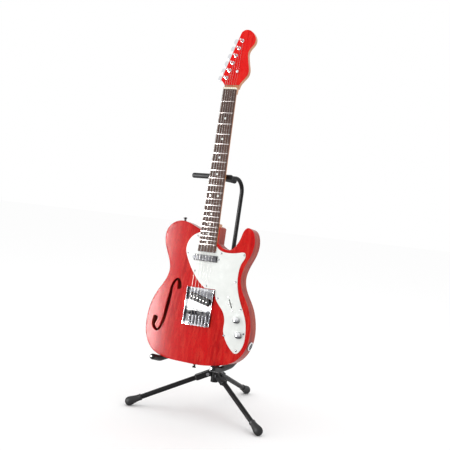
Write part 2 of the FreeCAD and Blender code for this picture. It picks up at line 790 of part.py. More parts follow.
# ---------------------------------------------------------------- neck pickup
COVER_BASE = -8.0
pickup_middle = on_face(0, S.neck_pickup_line, COVER_BASE)
cover_blank = block("neck_pickup_length", "neck_pickup_width", "neck_pickup_top - %g" % COVER_BASE,
                    moved(pickup_middle), base=True)
cover_inside = block("neck_pickup_length - 1.6", "neck_pickup_width - 1.6",
                     "neck_pickup_top - %g - 0.8" % COVER_BASE,
                     moved(pickup_middle), base=True)
cover_round = doc.addObject("Part::Fillet", "Rounded")
cover_round.Base = cover_blank
doc.recompute()
upper_edges = [
    (index, 1.8, 1.8) for index, edge in enumerate(cover_blank.Shape.Edges, start=1)
    if edge.BoundBox.ZMax > COVER_BASE + 1]
cover_round.Edges = upper_edges
node(cut(cover_round, cover_inside), "neck_pickup_cover", guitar)
node(block("neck_pickup_length - 2.4", "neck_pickup_width - 2.4", 14,
           guitar.multiply(moved(pickup_middle)), base=True), "neck_pickup_coil")

# ---------------------------------------------------------------- bridge
PLATE_TOP = S.bridge_sheet
BRIDGE_END = S.bridge_front + S.bridge_length
bridge_middle = on_face(0, S.bridge_front + S.bridge_length / 2, 0.02)
tray = cut(
    block("bridge_width", "bridge_length", "bridge_wall_height", moved(bridge_middle),
          base=True),
    block("bridge_width - 2 * bridge_sheet", "bridge_length", 20,
          moved(bridge_middle + Vector(0, S.bridge_sheet, S.bridge_sheet)), base=True))
pickup_hole = block("bridge_pickup_length + 1", "bridge_pickup_width + 1", 40, turned(
    Z_AXIS, -S.bridge_pickup_slant, on_face(0, S.bridge_pickup_line, 0)))
string_holes = [cylinder("%g" % STRING_HOLE, 10, moved(on_face(
    string_across(n, S.ferrule_line), S.ferrule_line, -4))) for n in range(6)]
screw_line = BRIDGE_END - S.bridge_sheet / 2
INTONATION_HEIGHT = 6.2


def saddle_across(number):
    return string_across(number, S.scale_length)


rear_holes = [cylinder("intonation_radius", 12, along(
    on_face(saddle_across(n) + S.intonation_offset, screw_line - 6, INTONATION_HEIGHT),
    Vector(0, -1, 0))) for n in range(6)]
node(cut(tray, pickup_hole, *string_holes, *rear_holes), "bridge_plate", guitar)

BRIDGE_SCREWS = [(-36.0, 676.0), (-12.5, 681.0), (12.5, 681.0), (36.0, 676.0)]
node(group([screw("small_screw_head + 0.2", 1.6, moved(on_face(x, y, PLATE_TOP + 0.02)))
            for x, y in BRIDGE_SCREWS]), "bridge_screws", guitar)

SADDLE_BASE = PLATE_TOP + 0.3
SADDLE_FRONT = S.scale_length - 5
STRING_RISE = 5.0                   # the strings leave the plate this high
BREAK_ANGLE = math.degrees(math.atan2(S.string_height_saddle - STRING_RISE,
                                      S.ferrule_line - S.scale_length))
saddles = []
for n, radius in enumerate(STRING_RADII):
    seat = on_face(saddle_across(n), SADDLE_FRONT + S.saddle_length / 2, SADDLE_BASE)
    crest_level = S.string_height_saddle - radius - 0.2
    body = block("saddle_width", "saddle_length", crest_level - SADDLE_BASE,
                 moved(seat), base=True)
    slope = block(30, 80, 20, turned(X_AXIS, BREAK_ANGLE + 1.5, on_face(
        saddle_across(n), S.scale_length, crest_level)), base=True)
    thread = cylinder("intonation_radius", 40, along(
        on_face(saddle_across(n) + S.intonation_offset, SADDLE_FRONT + 5, INTONATION_HEIGHT),
        Vector(0, -1, 0)))
    saddles.append(cut(body, slope, thread))
node(group(saddles), "saddles", guitar)
screws = []
springs = []
for n in range(6):
    start = on_face(saddle_across(n) + S.intonation_offset, SADDLE_FRONT + 5, INTONATION_HEIGHT)
    back_way = Vector(0, -1, 0)
    reach = BRIDGE_END - SADDLE_FRONT - 5
    screws.append(fuse(cylinder("intonation_radius", reach, along(start, back_way)),
                       cylinder("intonation_radius + 1.1", 2.2, along(
                           start + back_way * reach, back_way))))
    spring_start = start + back_way * (S.saddle_length - 5 + 0.1)
    spring_length = reach - S.saddle_length + 5 - S.bridge_sheet - 0.2
    outer = cylinder("intonation_radius + 0.6", spring_length, along(spring_start, back_way))
    inner = cylinder("intonation_radius + 0.1", spring_length, along(spring_start, back_way))
    springs.append(cut(outer, inner))
node(group(screws), "intonation_screws", guitar)
node(group(springs), "saddle_springs", guitar)

slant = turned(Z_AXIS, -S.bridge_pickup_slant, on_face(0, S.bridge_pickup_line, -9))
POLE_SPACING = 10.2
flange = block("bridge_pickup_length", "bridge_pickup_width", 14, slant, base=True)
bobbin = block("bridge_pickup_length - 4", "bridge_pickup_width - 3", 17, slant, base=True)
poles = [cylinder(2.4, 19.2, slant.multiply(moved(Vector((n - 2.5) * POLE_SPACING, 0, 0))))
         for n in range(6)]
node(fuse(flange, bobbin, *poles), "bridge_pickup", guitar)

# ---------------------------------------------------------------- tuners
TUNER_BASE = HEAD_BACK - S.tuner_housing_height
GEAR_HEIGHT = HEAD_BACK - S.tuner_housing_height / 2
GEAR_RADIUS = S.string_post_radius + 0.6
GEAR_THICKNESS = 3.0
WORM_SIDE = GEAR_RADIUS + S.tuner_shaft_radius + S.clearance
WORM_TAIL = 3.2                     # worm shaft behind the string post's axis
POST_TOP = HEAD_FACE + S.string_post_height
SLOT_DEPTH = 3.5
GEAR_ROOM = 0.5
# the gear nearly fills the case's inner side, and the worm shaft takes the rest of its width
CASE_OFFSET = S.tuner_housing_width / 2 - S.tuner_wall - GEAR_RADIUS - GEAR_ROOM
BUTTON_THICKNESS = 5.6


def button_barrel():
    """A barrel about Z, widest in its middle; two flats make it a tuner's button."""
    low, wide, high = Vector(4, 0, -6.2), Vector(8.6, 0, 0), Vector(4, 0, 6.2)
    ends = [high, Vector(0, 0, high.z), Vector(0, 0, low.z), low]
    edges = [Part.Arc(low, wide, high).toShape()]
    edges += [Part.LineSegment(a, b).toShape() for a, b in zip(ends, ends[1:])]
    return Part.Face(Part.Wire(edges)).revolve(Vector(0, 0, 0), Z_AXIS, 360)


def tuner(number):
    """Gear case with its bushing, string post with its gear, and worm shaft with its button."""
    foot, direction, outward = tuner_place(number)
    frame = Placement(foot, Rotation(outward, Vector(0, 0, 0), Z_AXIS, "XZY"))

    def upright(out, side, height):
        return frame.multiply(moved(Vector(out, side, height)))

    def sideways(out):
        return frame.multiply(turned(Y_AXIS, 90, Vector(out, WORM_SIDE, GEAR_HEIGHT)))

    case_place = upright(CASE_OFFSET, WORM_SIDE / 2, TUNER_BASE)
    case = block("tuner_housing_width", "tuner_housing_length", "tuner_housing_height", case_place,
                 base=True)
    room = block("tuner_housing_width - 2 * tuner_wall", "tuner_housing_length - 2 * tuner_wall",
                 "tuner_housing_height - 2 * tuner_wall",
                 case_place.multiply(moved(Vector(0, 0, S.tuner_wall))), base=True)
    bushing = cylinder("tuner_bushing_radius", "headstock_thickness", upright(0, 0, HEAD_BACK))
    washer = cylinder("tuner_bushing_radius + 1.2", 1.4, upright(0, 0, HEAD_FACE))
    post_bore = cylinder("string_post_radius + running_fit", "headstock_thickness + 20",
                         upright(0, 0, HEAD_BACK - S.tuner_wall - 0.5))
    shaft_bore = cylinder("tuner_shaft_radius + running_fit", "tuner_housing_width",
                          sideways(CASE_OFFSET))
    housing = cut(fuse(case, bushing, washer), room, post_bore, shaft_bore)

    post_low = GEAR_HEIGHT - GEAR_THICKNESS / 2
    rod = cylinder("string_post_radius", POST_TOP - post_low, upright(0, 0, post_low))
    gear = cylinder(GEAR_RADIUS, GEAR_THICKNESS, upright(0, 0, post_low))
    windings = cylinder("string_post_radius + 0.7", 3.2, upright(0, 0, HEAD_FACE + WRAP_LOW))
    string_slot = block(20, 1.0, SLOT_DEPTH, upright(0, 0, POST_TOP - SLOT_DEPTH), base=True)
    string_post = cut(fuse(rod, gear, windings), string_slot)

    button_middle = S.tuner_inset + S.tuner_button_reach + 3
    shaft = cylinder("tuner_shaft_radius", button_middle + WORM_TAIL, sideways(-WORM_TAIL))
    barrel = solid(button_barrel())
    barrel.Placement = sideways(button_middle)
    slab = block(30, 30, BUTTON_THICKNESS, upright(button_middle, WORM_SIDE, GEAR_HEIGHT))
    ring = cylinder("tuner_shaft_radius + 1.2", 2.0, sideways(S.tuner_inset + 3.8))
    return housing, string_post, fuse(shaft, common(barrel, slab), ring)


tuners = [tuner(number) for number in range(6)]
node(group([housing for housing, string_post, button in tuners]), "tuner_housings", guitar)
for number, (housing, string_post, button) in enumerate(tuners, start=1):
    node(string_post, "tuner_post_%d" % number, guitar)
    node(button, "tuner_button_%d" % number, guitar)

guide = solid(revolved([(0, 0), (2.2, 0), (2.2, 4.0), (4.3, 4.8), (4.3, 5.8), (3.0, 6.6),
                        (0, 6.6)]))
node(guide, "string_guide", guitar.multiply(moved(GUIDE_SPOT)))

# ---------------------------------------------------------------- strings and ferrules
STRING_BENDS = [3, 4, 6]            # over the plate, over the saddle, over the nut
GUIDE_BEND = 20


def string_path(number):
    """From the ferrule through the body, over saddle and nut, to the post's windings."""
    radius = STRING_RADII[number]
    across = string_across(number, S.ferrule_line)
    route = [
        on_face(across, S.ferrule_line, BACK + 3),
        on_face(across, S.ferrule_line, STRING_RISE),
        on_face(saddle_across(number), S.scale_length, S.string_height_saddle),
        on_face(string_across(number, 0), NUT_EDGE, S.string_height_nut),
    ]
    bends = list(STRING_BENDS)
    if number in GUIDED:
        route.append(beyond_nut(number))
        bends.append(GUIDE_BEND)
    last = route[-1]
    foot = tuner_place(number)[0]
    wrap = S.string_post_radius + 0.7 + S.clearance + radius
    heading = Vector(foot.x - last.x, foot.y - last.y, 0)
    swing = math.asin(wrap / heading.Length)
    aim = Rotation(Z_AXIS, -math.degrees(swing)).multVec(unit(heading))
    touch = last + aim * (heading.Length * math.cos(swing))
    route.append(Vector(touch.x, touch.y, HEAD_FACE + WRAP_LOW + 1.6))
    return rounded_path(route, bends)


node(group([solid(rod_along(string_path(n), radius)) for n, radius in enumerate(STRING_RADII)]),
     "strings", guitar)

ferrules = []
for n in range(6):
    seat = on_face(string_across(n, S.ferrule_line), S.ferrule_line, BACK)
    cup = fuse(cylinder("ferrule_radius", FERRULE_LENGTH, moved(seat)),
               cylinder("ferrule_radius + 0.8", 0.8, moved(seat - Vector(0, 0, 0.8))))
    ferrules.append(cut(cup, cylinder(STRING_HOLE, 30, moved(seat - Vector(0, 0, 5)))))
node(group(ferrules), "string_ferrules", guitar)

# ---------------------------------------------------------------- controls
POT_DEPTH = 11.0                    # bottom of the pot's case below the face
POT_CASE = 8.0
SHAFT_LOW = -4.8
pots = []
for across, distance in (VOLUME_PLACE, TONE_PLACE):
    case = cylinder("pot_radius", POT_CASE + 1, moved(on_face(across, distance, -POT_DEPTH)))
    bushing = cylinder("pot_bushing_radius", 6.4, moved(on_face(across, distance,
                                                                POT_CASE - POT_DEPTH)))
    bore = cylinder("pot_shaft_radius + running_fit", 10, moved(on_face(across, distance, -5)))
    pots.append(cut(fuse(case, bushing), bore))
node(group(pots), "pot_housings", guitar)


def knob_profile():
    """Half section of a domed knob with its shaft, closed on the axis."""
    radius = S.knob_radius
    shaft = S.pot_shaft_radius
    recess = S.pot_bushing_radius + 1.2
    base = GUARD_TOP + 0.6
    high = base + S.knob_height
    dome = [Vector(0, 0, high), Vector(radius * 0.62, 0, high - 1.0),
            Vector(radius * 0.93, 0, high - 3.6)]
    corners = [dome[2], Vector(radius, 0, base), Vector(recess, 0, base),
               Vector(recess, 0, base + 3), Vector(shaft, 0, base + 3),
               Vector(shaft, 0, SHAFT_LOW), Vector(0, 0, SHAFT_LOW), dome[0]]
    edges = [Part.Arc(*dome).toShape()]
    edges += [Part.LineSegment(a, b).toShape() for a, b in zip(corners, corners[1:])]
    return Part.Face(Part.Wire(Part.__sortEdges__(edges)))


for label, (across, distance) in (("volume_knob", VOLUME_PLACE), ("tone_knob", TONE_PLACE)):
    knob = solid(knob_profile().revolve(Vector(0, 0, 0), Z_AXIS, 360))
    node(knob, label, guitar.multiply(moved(on_face(across, distance, 0))))

switch_turn = turned(Z_AXIS, CONTROL_ANGLE, on_face(*SWITCH_PLACE, 0))
PIVOT_DEPTH = 16.0
bracket = fuse(
    block(1.5, 42, 17, switch_turn.multiply(moved(Vector(-5.2, 0, -17.5))), base=True),
    cut(block(14, 42, 1.5, switch_turn.multiply(moved(Vector(0, 0, -1.5))), base=True),
        block("lever_thickness + 1.4", "2 * switch_travel + 5", 6, switch_turn)),
    cylinder(1.4, 3.9, switch_turn.multiply(turned(Y_AXIS, 90, Vector(-5, 0, -PIVOT_DEPTH)))))
node(bracket, "switch_frame", guitar)
lever = fuse(
    cut(block("lever_thickness", 5, PIVOT_DEPTH + 13, switch_turn.multiply(
        moved(Vector(0, 0, -PIVOT_DEPTH - 2.5))), base=True),
        cylinder("1.4 + running_fit", 10, switch_turn.multiply(
            turned(Y_AXIS, 90, Vector(-5, 0, -PIVOT_DEPTH))))),
    block(3.6, 7, 6.5, switch_turn.multiply(moved(Vector(0, 0, 8))), base=True))
node(lever, "switch_lever", guitar)

# ---------------------------------------------------------------- neck plate and screws
plate_middle = on_face(0, S.tongue_start + 3 + S.plate_length / 2, BACK - S.plate_thickness)
plate = block("plate_width", "plate_length", "plate_thickness", moved(plate_middle),
              base=True)
plate_holes = [cylinder("neck_screw_radius", 10, moved(on_face(x, y, BACK - 5)))
               for x, y in NECK_SCREWS]
node(cut(plate, *plate_holes), "neck_plate", guitar)
node(group([
    fuse(cylinder("neck_screw_radius", "body_thickness - 7", moved(on_face(
            x, y, BACK - S.plate_thickness))),
         cone("neck_screw_radius + 1.2", "neck_screw_radius + 2.4", 1.8, moved(on_face(
             x, y, BACK - S.plate_thickness - 1.8))))
    for x, y in NECK_SCREWS]), "neck_screws", guitar)

# ---------------------------------------------------------------- tripod
hub_axis = Vector(0, hub_y, 0)
LEGS = {"left": -S.front_leg_angle, "right": S.front_leg_angle, "back": 180.0}
pin_spot = Vector(S.lug_reach, 0, S.pin_height)
bulb_spot = Vector(S.foot_circle, 0, S.foot_radius - S.foot_sink)
leg_run = bulb_spot - pin_spot
leg_length = leg_run.Length
leg_slope = math.degrees(math.atan2(-leg_run.z, leg_run.x))


def spoke(angle):
    """Placement whose X points outward from the hub axis; angle 0 is straight ahead."""
    return Placement(hub_axis, Rotation(Z_AXIS, angle - 90))


def post_at(height):
    return post.multiply(moved(Vector(0, 0, height)))


SOCKET_HEIGHT = 34.0
lugs = []
for angle in LEGS.values():
    web = block("lug_reach", "lug_thickness", 16, spoke(angle).multiply(
        moved(Vector(S.lug_reach / 2, 0, S.pin_height))))
    eye = cylinder(8, "lug_thickness", spoke(angle).multiply(
        turned(X_AXIS, 90, pin_spot + Vector(0, S.lug_thickness / 2, 0))))
    lug = fuse(web, eye)
    lugs.append(cut(lug, cylinder("pin_radius", 20, spoke(angle).multiply(
        turned(X_AXIS, 90, pin_spot + Vector(0, 10, 0))))))
barrel = cylinder("hub_radius", "hub_top - hub_bottom", moved(hub_axis + Vector(0, 0, S.hub_bottom)))
socket = cylinder("post_radius + 3", SOCKET_HEIGHT, post_at(6))
hub = cut(fuse(barrel, socket, *lugs), cylinder("post_radius", 80, post_at(8)))
node(hub, "hub")

pins = []
for angle in LEGS.values():
    length = S.clevis_width + 1.0
    pin_base = spoke(angle).multiply(turned(X_AXIS, 90, pin_spot + Vector(0, length / 2, 0)))
    head = pin_base.multiply(moved(Vector(0, 0, -2)))
    far = pin_base.multiply(moved(Vector(0, 0, length)))
    pins.append(fuse(cylinder("pin_radius", length, pin_base),
                     cylinder("pin_radius + 2", 2, head), cylinder("pin_radius + 2", 2, far)))
node(group(pins), "leg_pins")

floor = block(1200, 1200, 60, moved(Vector(0, 0, -30)))
for side_name, angle in LEGS.items():
    leg = spoke(angle).multiply(Placement(pin_spot, Rotation(Y_AXIS, leg_slope)))
    tube = cylinder("leg_radius", leg_length - 16, turned(Y_AXIS, 90, Vector(14, 0, 0)))
    tube_bore = cylinder("leg_radius - tube_wall", leg_length, turned(
        Y_AXIS, 90, Vector(S.clevis_length, 0, 0)))
    fork = block("clevis_length", "clevis_width", 17, moved(Vector(S.clevis_length / 2 - 9, 0, 0)))
    fork_round = common(fork, cylinder("clevis_width * 0.62", 120, turned(
        Y_AXIS, 90, Vector(-20, 0, 0))))
    throat = block(34, "lug_thickness + 2 * clearance", 60, moved(Vector(-1.5, 0, 0)))
    clear_barrel = cylinder("hub_radius + 1.2", 120, turned(
        Y_AXIS, -leg_slope, Vector(0, 0, 0)).multiply(moved(Vector(-S.lug_reach, 0, -60))))
    pin_hole = cylinder("pin_radius + running_fit", 60, turned(X_AXIS, 90, Vector(0, 30, 0)))
    node(cut(fuse(tube, fork_round), tube_bore, throat, pin_hole, clear_barrel),
         "leg_" + side_name, leg)
    taper_start = leg_length - S.foot_length + S.foot_radius
    taper = cone("leg_radius + 1.3", "foot_radius * 0.93", S.foot_length - S.foot_radius - 5,
                 turned(Y_AXIS, 90, Vector(taper_start, 0, 0)))
    lip = cylinder("leg_radius + 2.1", 3.0, turned(Y_AXIS, 90, Vector(taper_start, 0, 0)))
    bulb = ball("foot_radius", Vector(leg_length, 0, 0))
    rubber = cut(fuse(taper, lip, bulb), cylinder("leg_radius", leg_length - 2, turned(
        Y_AXIS, 90, Vector(0, 0, 0))))
    rubber.Placement = leg
    node(cut(rubber, floor), "foot_" + side_name)

# ---------------------------------------------------------------- posts and clamp
POST_LOW = 8.0
lower = cut(cylinder("post_radius", "lower_post_length", post_at(POST_LOW)),
            cylinder("post_bore", "lower_post_length", post_at(POST_LOW + 8)))
node(lower, "lower_post")
COLLAR_LOW = POST_LOW + S.lower_post_length - 14
clamp_level = COLLAR_LOW + S.collar_height - 11
collar_body = fuse(cylinder("collar_radius", "collar_height", post_at(COLLAR_LOW)),
                   cylinder(7, 9, post_at(clamp_level).multiply(turned(
                       X_AXIS, -90, Vector(0, S.collar_radius - 3, 0)))))
collar_bores = [
    cylinder("post_radius", 14, post_at(COLLAR_LOW)),
    cylinder("upper_radius + running_fit", 60, post_at(COLLAR_LOW)),
    cylinder("pin_radius + running_fit", 30, post_at(clamp_level).multiply(
        turned(X_AXIS, -90, Vector(0, 0, 0))))]
node(cut(collar_body, *collar_bores), "height_collar")
screw_start = post_at(clamp_level).multiply(turned(
    X_AXIS, -90, Vector(0, S.upper_radius + S.clearance, 0)))
knob_from = S.collar_radius + 6 + 0.6 - S.upper_radius - S.clearance
grip = cylinder("clamp_knob_radius", 9, screw_start.multiply(moved(Vector(0, 0, knob_from))))
LOBES = 6
flutes = [cylinder(3.4, 20, screw_start.multiply(turned(Z_AXIS, 0, Vector(
    (S.clamp_knob_radius + 1.4) * math.cos(2 * math.pi * n / LOBES),
    (S.clamp_knob_radius + 1.4) * math.sin(2 * math.pi * n / LOBES), knob_from - 5))))
    for n in range(LOBES)]
node(fuse(cut(grip, *flutes), cylinder("pin_radius", knob_from + 5, screw_start)), "clamp_screw")

# the upper post: straight in the collar, then bent forward until it runs level
post_dir = post.Rotation.multVec(Z_AXIS)
along_to_rest = (S.neck_rest_height - hub_middle.z) / post_dir.z


def neck_back(height):
    """Middle of the neck's back, at a height above the floor."""
    nut_back = guitar.multVec(on_face(0, 0, S.fingerboard_base - S.neck_depth_at_nut))
    other = guitar.multVec(on_face(0, twelfth, S.fingerboard_base - S.neck_depth_at_twelfth))
    part_way = (nut_back.z - height) / (nut_back.z - other.z)
    return nut_back + (other - nut_back) * part_way


REST_PLAY = 0.45                    # for the round of the neck against the turned bar
turn = math.radians(S.post_turn)
post_y = hub_y + post_dir.y * along_to_rest
leaning_on = neck_back(S.neck_rest_height)
behind = post_y - leaning_on.y
rest_gap = (S.rest_sleeve_radius + S.clearance + REST_PLAY) / math.cos(math.radians(lean))
rest_reach = behind * math.cos(turn) - rest_gap - leaning_on.x * math.sin(turn)

upper_frame = post.multiply(Placement(Vector(0, 0, 0), Rotation(Z_AXIS, -S.post_turn)))
arm_dir = Vector(0, -math.cos(math.radians(post_lean)), -math.sin(math.radians(post_lean)))
corner = Vector(0, 0, along_to_rest)
rest_middle = corner + arm_dir * rest_reach
upper_path = rounded_path([Vector(0, 0, S.upper_start), corner, rest_middle], S.post_bend)
upper_tube = solid(rod_along(upper_path, S.upper_radius))
UPPER_WALL = 1.2
tube_inside = solid(rod_along(upper_path, S.upper_radius - UPPER_WALL))
rest_place = moved(rest_middle).multiply(turned(Y_AXIS, 90, Vector(-S.rest_length / 2, 0, 0)))
rest_rod = cylinder("rest_rod_radius", "rest_length", rest_place)
node(fuse(cut(upper_tube, tube_inside), rest_rod), "upper_post", upper_frame)
stem_length = rest_reach - S.post_bend - 12
stem_place = along(rest_middle, -arm_dir)
sleeve = fuse(cylinder("rest_sleeve_radius", "rest_length + 6", rest_place.multiply(
    moved(Vector(0, 0, -3)))),
    cylinder("rest_sleeve_radius", stem_length, stem_place),
    cylinder("rest_sleeve_radius + 0.8", 5, stem_place.multiply(moved(Vector(0, 0, stem_length - 5)))))
filled_tube = solid(rod_along(upper_path, S.upper_radius))
node(cut(sleeve, rest_rod, filled_tube), "neck_rest_sleeve", upper_frame)

# ---------------------------------------------------------------- cradle
arm_x = S.arm_spacing / 2
ARM_FRONT_LOW = S.arm_reach - 42
ARM_BACK_LOW = 100.0
ARM_REAR = 62.0


def arm_level():
    """Height of the arms' axes at which the nearer sleeve just clears the body."""
    body = back.Shape.copy()
    body.Placement = guitar
    level = S.body_bottom_height - S.arm_sleeve_radius
    for _ in range(4):
        axes = [Part.makeLine(hub_axis + Vector(x, -S.arm_reach, level),
                              hub_axis + Vector(x, -ARM_REAR, level)) for x in (-arm_x, arm_x)]
        level += Part.makeCompound(axes).distToShape(body)[0] - S.arm_sleeve_radius - S.arm_gap
    return level


arm_low = arm_level()
yoke_points = [
    Vector(arm_x, -S.arm_reach, arm_low + S.arm_tip_rise),
    Vector(arm_x, -ARM_FRONT_LOW, arm_low),
    Vector(arm_x, -ARM_BACK_LOW, arm_low),
    Vector(arm_x, -ARM_REAR, arm_low + S.arm_rear_rise),
    Vector(arm_x, -34, S.yoke_height),
    Vector(0, -34, S.yoke_height),
]
yoke_bends = [60, 60, 40, 16]
half_yoke = rounded_path(yoke_points, yoke_bends)
half_rod = rod_along(half_yoke, S.arm_rod_radius)
other_rod = half_rod.mirror(Vector(0, 0, 0), X_AXIS)
yoke_frame = moved(hub_axis)
yoke_rod = solid(half_rod.fuse(other_rod).removeSplitter())
yoke_rod.Placement = yoke_frame
yoke_along = (S.yoke_height - hub_middle.z) / post_dir.z
CLAMP_HEIGHT = 30.0
clamp_low = yoke_along - CLAMP_HEIGHT / 2
post_clamp = fuse(cylinder("post_radius + 4.5", CLAMP_HEIGHT, post_at(clamp_low)),
                  block(20, 46, 14, post_at(yoke_along).multiply(moved(Vector(0, -24, 0)))))
node(cut(fuse(yoke_rod, post_clamp), cylinder("post_radius", 80, post_at(clamp_low - 20))),
     "cradle_yoke")

front_run = rounded_path(yoke_points[:5], yoke_bends[:3])
SLEEVE_EDGES = 6
sleeve_path = Part.Wire(front_run.Edges[:SLEEVE_EDGES])
sleeve_solid = rod_along(sleeve_path, S.arm_sleeve_radius)
tip = yoke_points[0]
rubber_tip = Part.makeSphere(S.arm_sleeve_radius, tip)
whole = sleeve_solid.fuse(rubber_tip).cut(half_rod)
one_sleeve = solid(whole)
other_sleeve = solid(whole.mirror(Vector(0, 0, 0), X_AXIS))
node(group([one_sleeve, other_sleeve]), "cradle_sleeves", yoke_frame)

# ---------------------------------------------------------------- build, check, write
doc.recompute()
faults = [thing.Name for thing in doc.Objects
          if "Invalid" in thing.State or "Error" in thing.State]
for part in nodes:
    if part.Shape.isNull() or not part.Shape.isValid() or not part.Shape.Solids:
        faults.append(part.Label)
if faults:
    raise RuntimeError("failed: " + ", ".join(faults))
os.makedirs("parts", exist_ok=True)
for part in nodes:
    part.Shape.exportStep("parts/%s.step" % part.Label)
print(len(nodes), "nodes")
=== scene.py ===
import json
import math

import bmesh
import bpy
from mathutils import Matrix, Quaternion, Vector


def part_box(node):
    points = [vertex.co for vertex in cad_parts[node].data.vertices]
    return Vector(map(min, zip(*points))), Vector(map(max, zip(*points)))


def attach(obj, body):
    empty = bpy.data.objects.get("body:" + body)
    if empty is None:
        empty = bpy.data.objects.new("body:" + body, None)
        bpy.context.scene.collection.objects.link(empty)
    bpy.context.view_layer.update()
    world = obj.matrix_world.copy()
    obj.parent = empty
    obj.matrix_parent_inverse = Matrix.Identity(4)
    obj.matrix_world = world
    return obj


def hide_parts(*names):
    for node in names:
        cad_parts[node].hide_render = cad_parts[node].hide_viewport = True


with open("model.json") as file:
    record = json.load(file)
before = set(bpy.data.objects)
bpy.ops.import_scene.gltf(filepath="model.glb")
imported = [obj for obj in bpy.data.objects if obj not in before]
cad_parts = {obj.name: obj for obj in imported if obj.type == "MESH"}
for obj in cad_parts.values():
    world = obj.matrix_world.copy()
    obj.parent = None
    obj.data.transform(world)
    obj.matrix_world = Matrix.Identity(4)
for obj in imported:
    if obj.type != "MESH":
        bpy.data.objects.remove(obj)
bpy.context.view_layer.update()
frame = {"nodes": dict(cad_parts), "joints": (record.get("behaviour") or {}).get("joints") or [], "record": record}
nodes = frame["nodes"]
record = frame["record"]
joints = {joint["name"]: joint for joint in frame["joints"]}
mounts = {mount["name"]: mount for mount in record["mounts"]}

MM = 0.001
Z_AXIS = Vector((0, 0, 1))

# ---------------------------------------------------------------- places taken from the frame
face_out = Vector(joints["volume_turn"]["axis"]).normalized()
GUITAR_TILT = math.radians(0.5)      # the guitar's turn in its own plane
BODY_LENGTH = 795.4 * MM             # strap button's seat below the nut
HALF_THICK = 22.25 * MM
level_x = Vector((1, 0, 0))
upright = face_out.cross(level_x).normalized()
up_neck = Quaternion(face_out, GUITAR_TILT) @ upright
to_treble = up_neck.cross(face_out).normalized()
nut_point = Vector(mounts["strap_bottom"]["pos_m"]) + up_neck * BODY_LENGTH + face_out * HALF_THICK
post_axis = Vector(joints["post_slide"]["axis"]).normalized()


def on_face(across, distance, height=0.0):
    """A point over the guitar's face in millimetres: across to treble, down from the nut, out."""
    return nut_point + (to_treble * across - up_neck * distance + face_out * height) * MM


def axes_matrix(origin, x_axis, z_axis):
    """A frame whose Z is z_axis and whose X leans towards x_axis."""
    z = z_axis.normalized()
    y = z.cross(x_axis).normalized()
    x = y.cross(z)
    matrix = Matrix((x, y, z)).transposed().to_4x4()
    matrix.translation = origin
    return matrix


def points_of(node):
    return [vertex.co.copy() for vertex in nodes[node].data.vertices]


def end_centre(node, direction, slack=0.2 * MM):
    """Middle of the flat end that a node has furthest along a direction."""
    points = points_of(node)
    furthest = max(point.dot(direction) for point in points)
    end = [point for point in points if furthest - point.dot(direction) < slack]
    return sum(end, Vector()) / len(end)


# ---------------------------------------------------------------- mesh helpers
MERGE_DISTANCE = 1e-7                # metres


def built_mesh(name, mesh_builder, merge=MERGE_DISTANCE):
    """A mesh of what mesh_builder draws, with doubled points merged and its normals outward."""
    mesh = bpy.data.meshes.new(name)
    builder = bmesh.new()
    mesh_builder(builder)
    bmesh.ops.remove_doubles(builder, verts=builder.verts, dist=merge)
    bmesh.ops.recalc_face_normals(builder, faces=builder.faces)
    builder.to_mesh(mesh)
    builder.free()
    return mesh


def new_piece(name, mesh_builder, body, material, smooth=True):
    """A visible piece that rides on a body and takes a material slot."""
    mesh = built_mesh(name, mesh_builder)
    piece = bpy.data.objects.new(name, mesh)
    bpy.context.scene.collection.objects.link(piece)
    for polygon in mesh.polygons:
        polygon.use_smooth = smooth
    mesh.materials.append(material)
    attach(piece, body)
    return piece


def ring_mesh(builder, rings, closed_ends=True):
    """Skins a list of rings of points; a ring of one point closes the skin."""
    made = [[builder.verts.new(point) for point in ring] for ring in rings]
    for low, high in zip(made, made[1:]):
        count = max(len(low), len(high))
        for index in range(count):
            after = (index + 1) % count
            corners = [low[index % len(low)], low[after % len(low)],
                       high[after % len(high)], high[index % len(high)]]
            unique = list(dict.fromkeys(corners))
            if len(unique) > 2:
                builder.faces.new(unique)
    if closed_ends:
        for ring in (made[0], made[-1]):
            if len(ring) > 2:
                builder.faces.new(ring)


def turned_rings(profile, place, segments=48, wave=None):
    """Rings of a turned shape about the frame's Z; wave varies the radius round the turn."""
    rings = []
    for radius, height in profile:
        if radius == 0:
            rings.append([place @ Vector((0, 0, height * MM))])
            continue
        ring = []
        for index in range(segments):
            angle = 2 * math.pi * index / segments
            reach = radius * MM * (wave(angle, height) if wave else 1.0)
            ring.append(place @ Vector((reach * math.cos(angle), reach * math.sin(angle),
                                        height * MM)))
        rings.append(ring)
    return rings


def turned_builder(profile, places, segments=48, wave=None, closed=True):
    def build(builder):
        for place in places:
            ring_mesh(builder, turned_rings(profile, place, segments, wave), closed)
    return build


def rounded_line(corners, bends, step=math.radians(7)):
    """Points along straight runs joined by tangent arcs."""
    line = [corners[0]]
    for before, corner, after, radius in zip(corners, corners[1:], corners[2:], bends):
        back = (before - corner).normalized()
        ahead = (after - corner).normalized()
        half_turn = (math.pi - back.angle(ahead)) / 2
        centre = corner + (back + ahead).normalized() * (radius / math.cos(half_turn))
        first = corner + back * radius * math.tan(half_turn)
        axis = (first - centre).cross(ahead).normalized()
        count = max(2, round(2 * half_turn / step))
        for index in range(count + 1):
            swing = Quaternion(axis, 2 * half_turn * index / count)
            line.append(centre + swing @ (first - centre))
    line.append(corners[-1])
    return line


def even_line(line, spacing):
    """The same line with points at an even spacing."""
    lengths = [0.0]
    for a, b in zip(line, line[1:]):
        lengths.append(lengths[-1] + (b - a).length)
    count = max(2, round(lengths[-1] / spacing))
    points = []
    index = 0
    for number in range(count + 1):
        target = lengths[-1] * number / count
        while index < len(line) - 2 and lengths[index + 1] < target:
            index += 1
        part = (target - lengths[index]) / (lengths[index + 1] - lengths[index])
        points.append(line[index].lerp(line[index + 1], part))
    return points


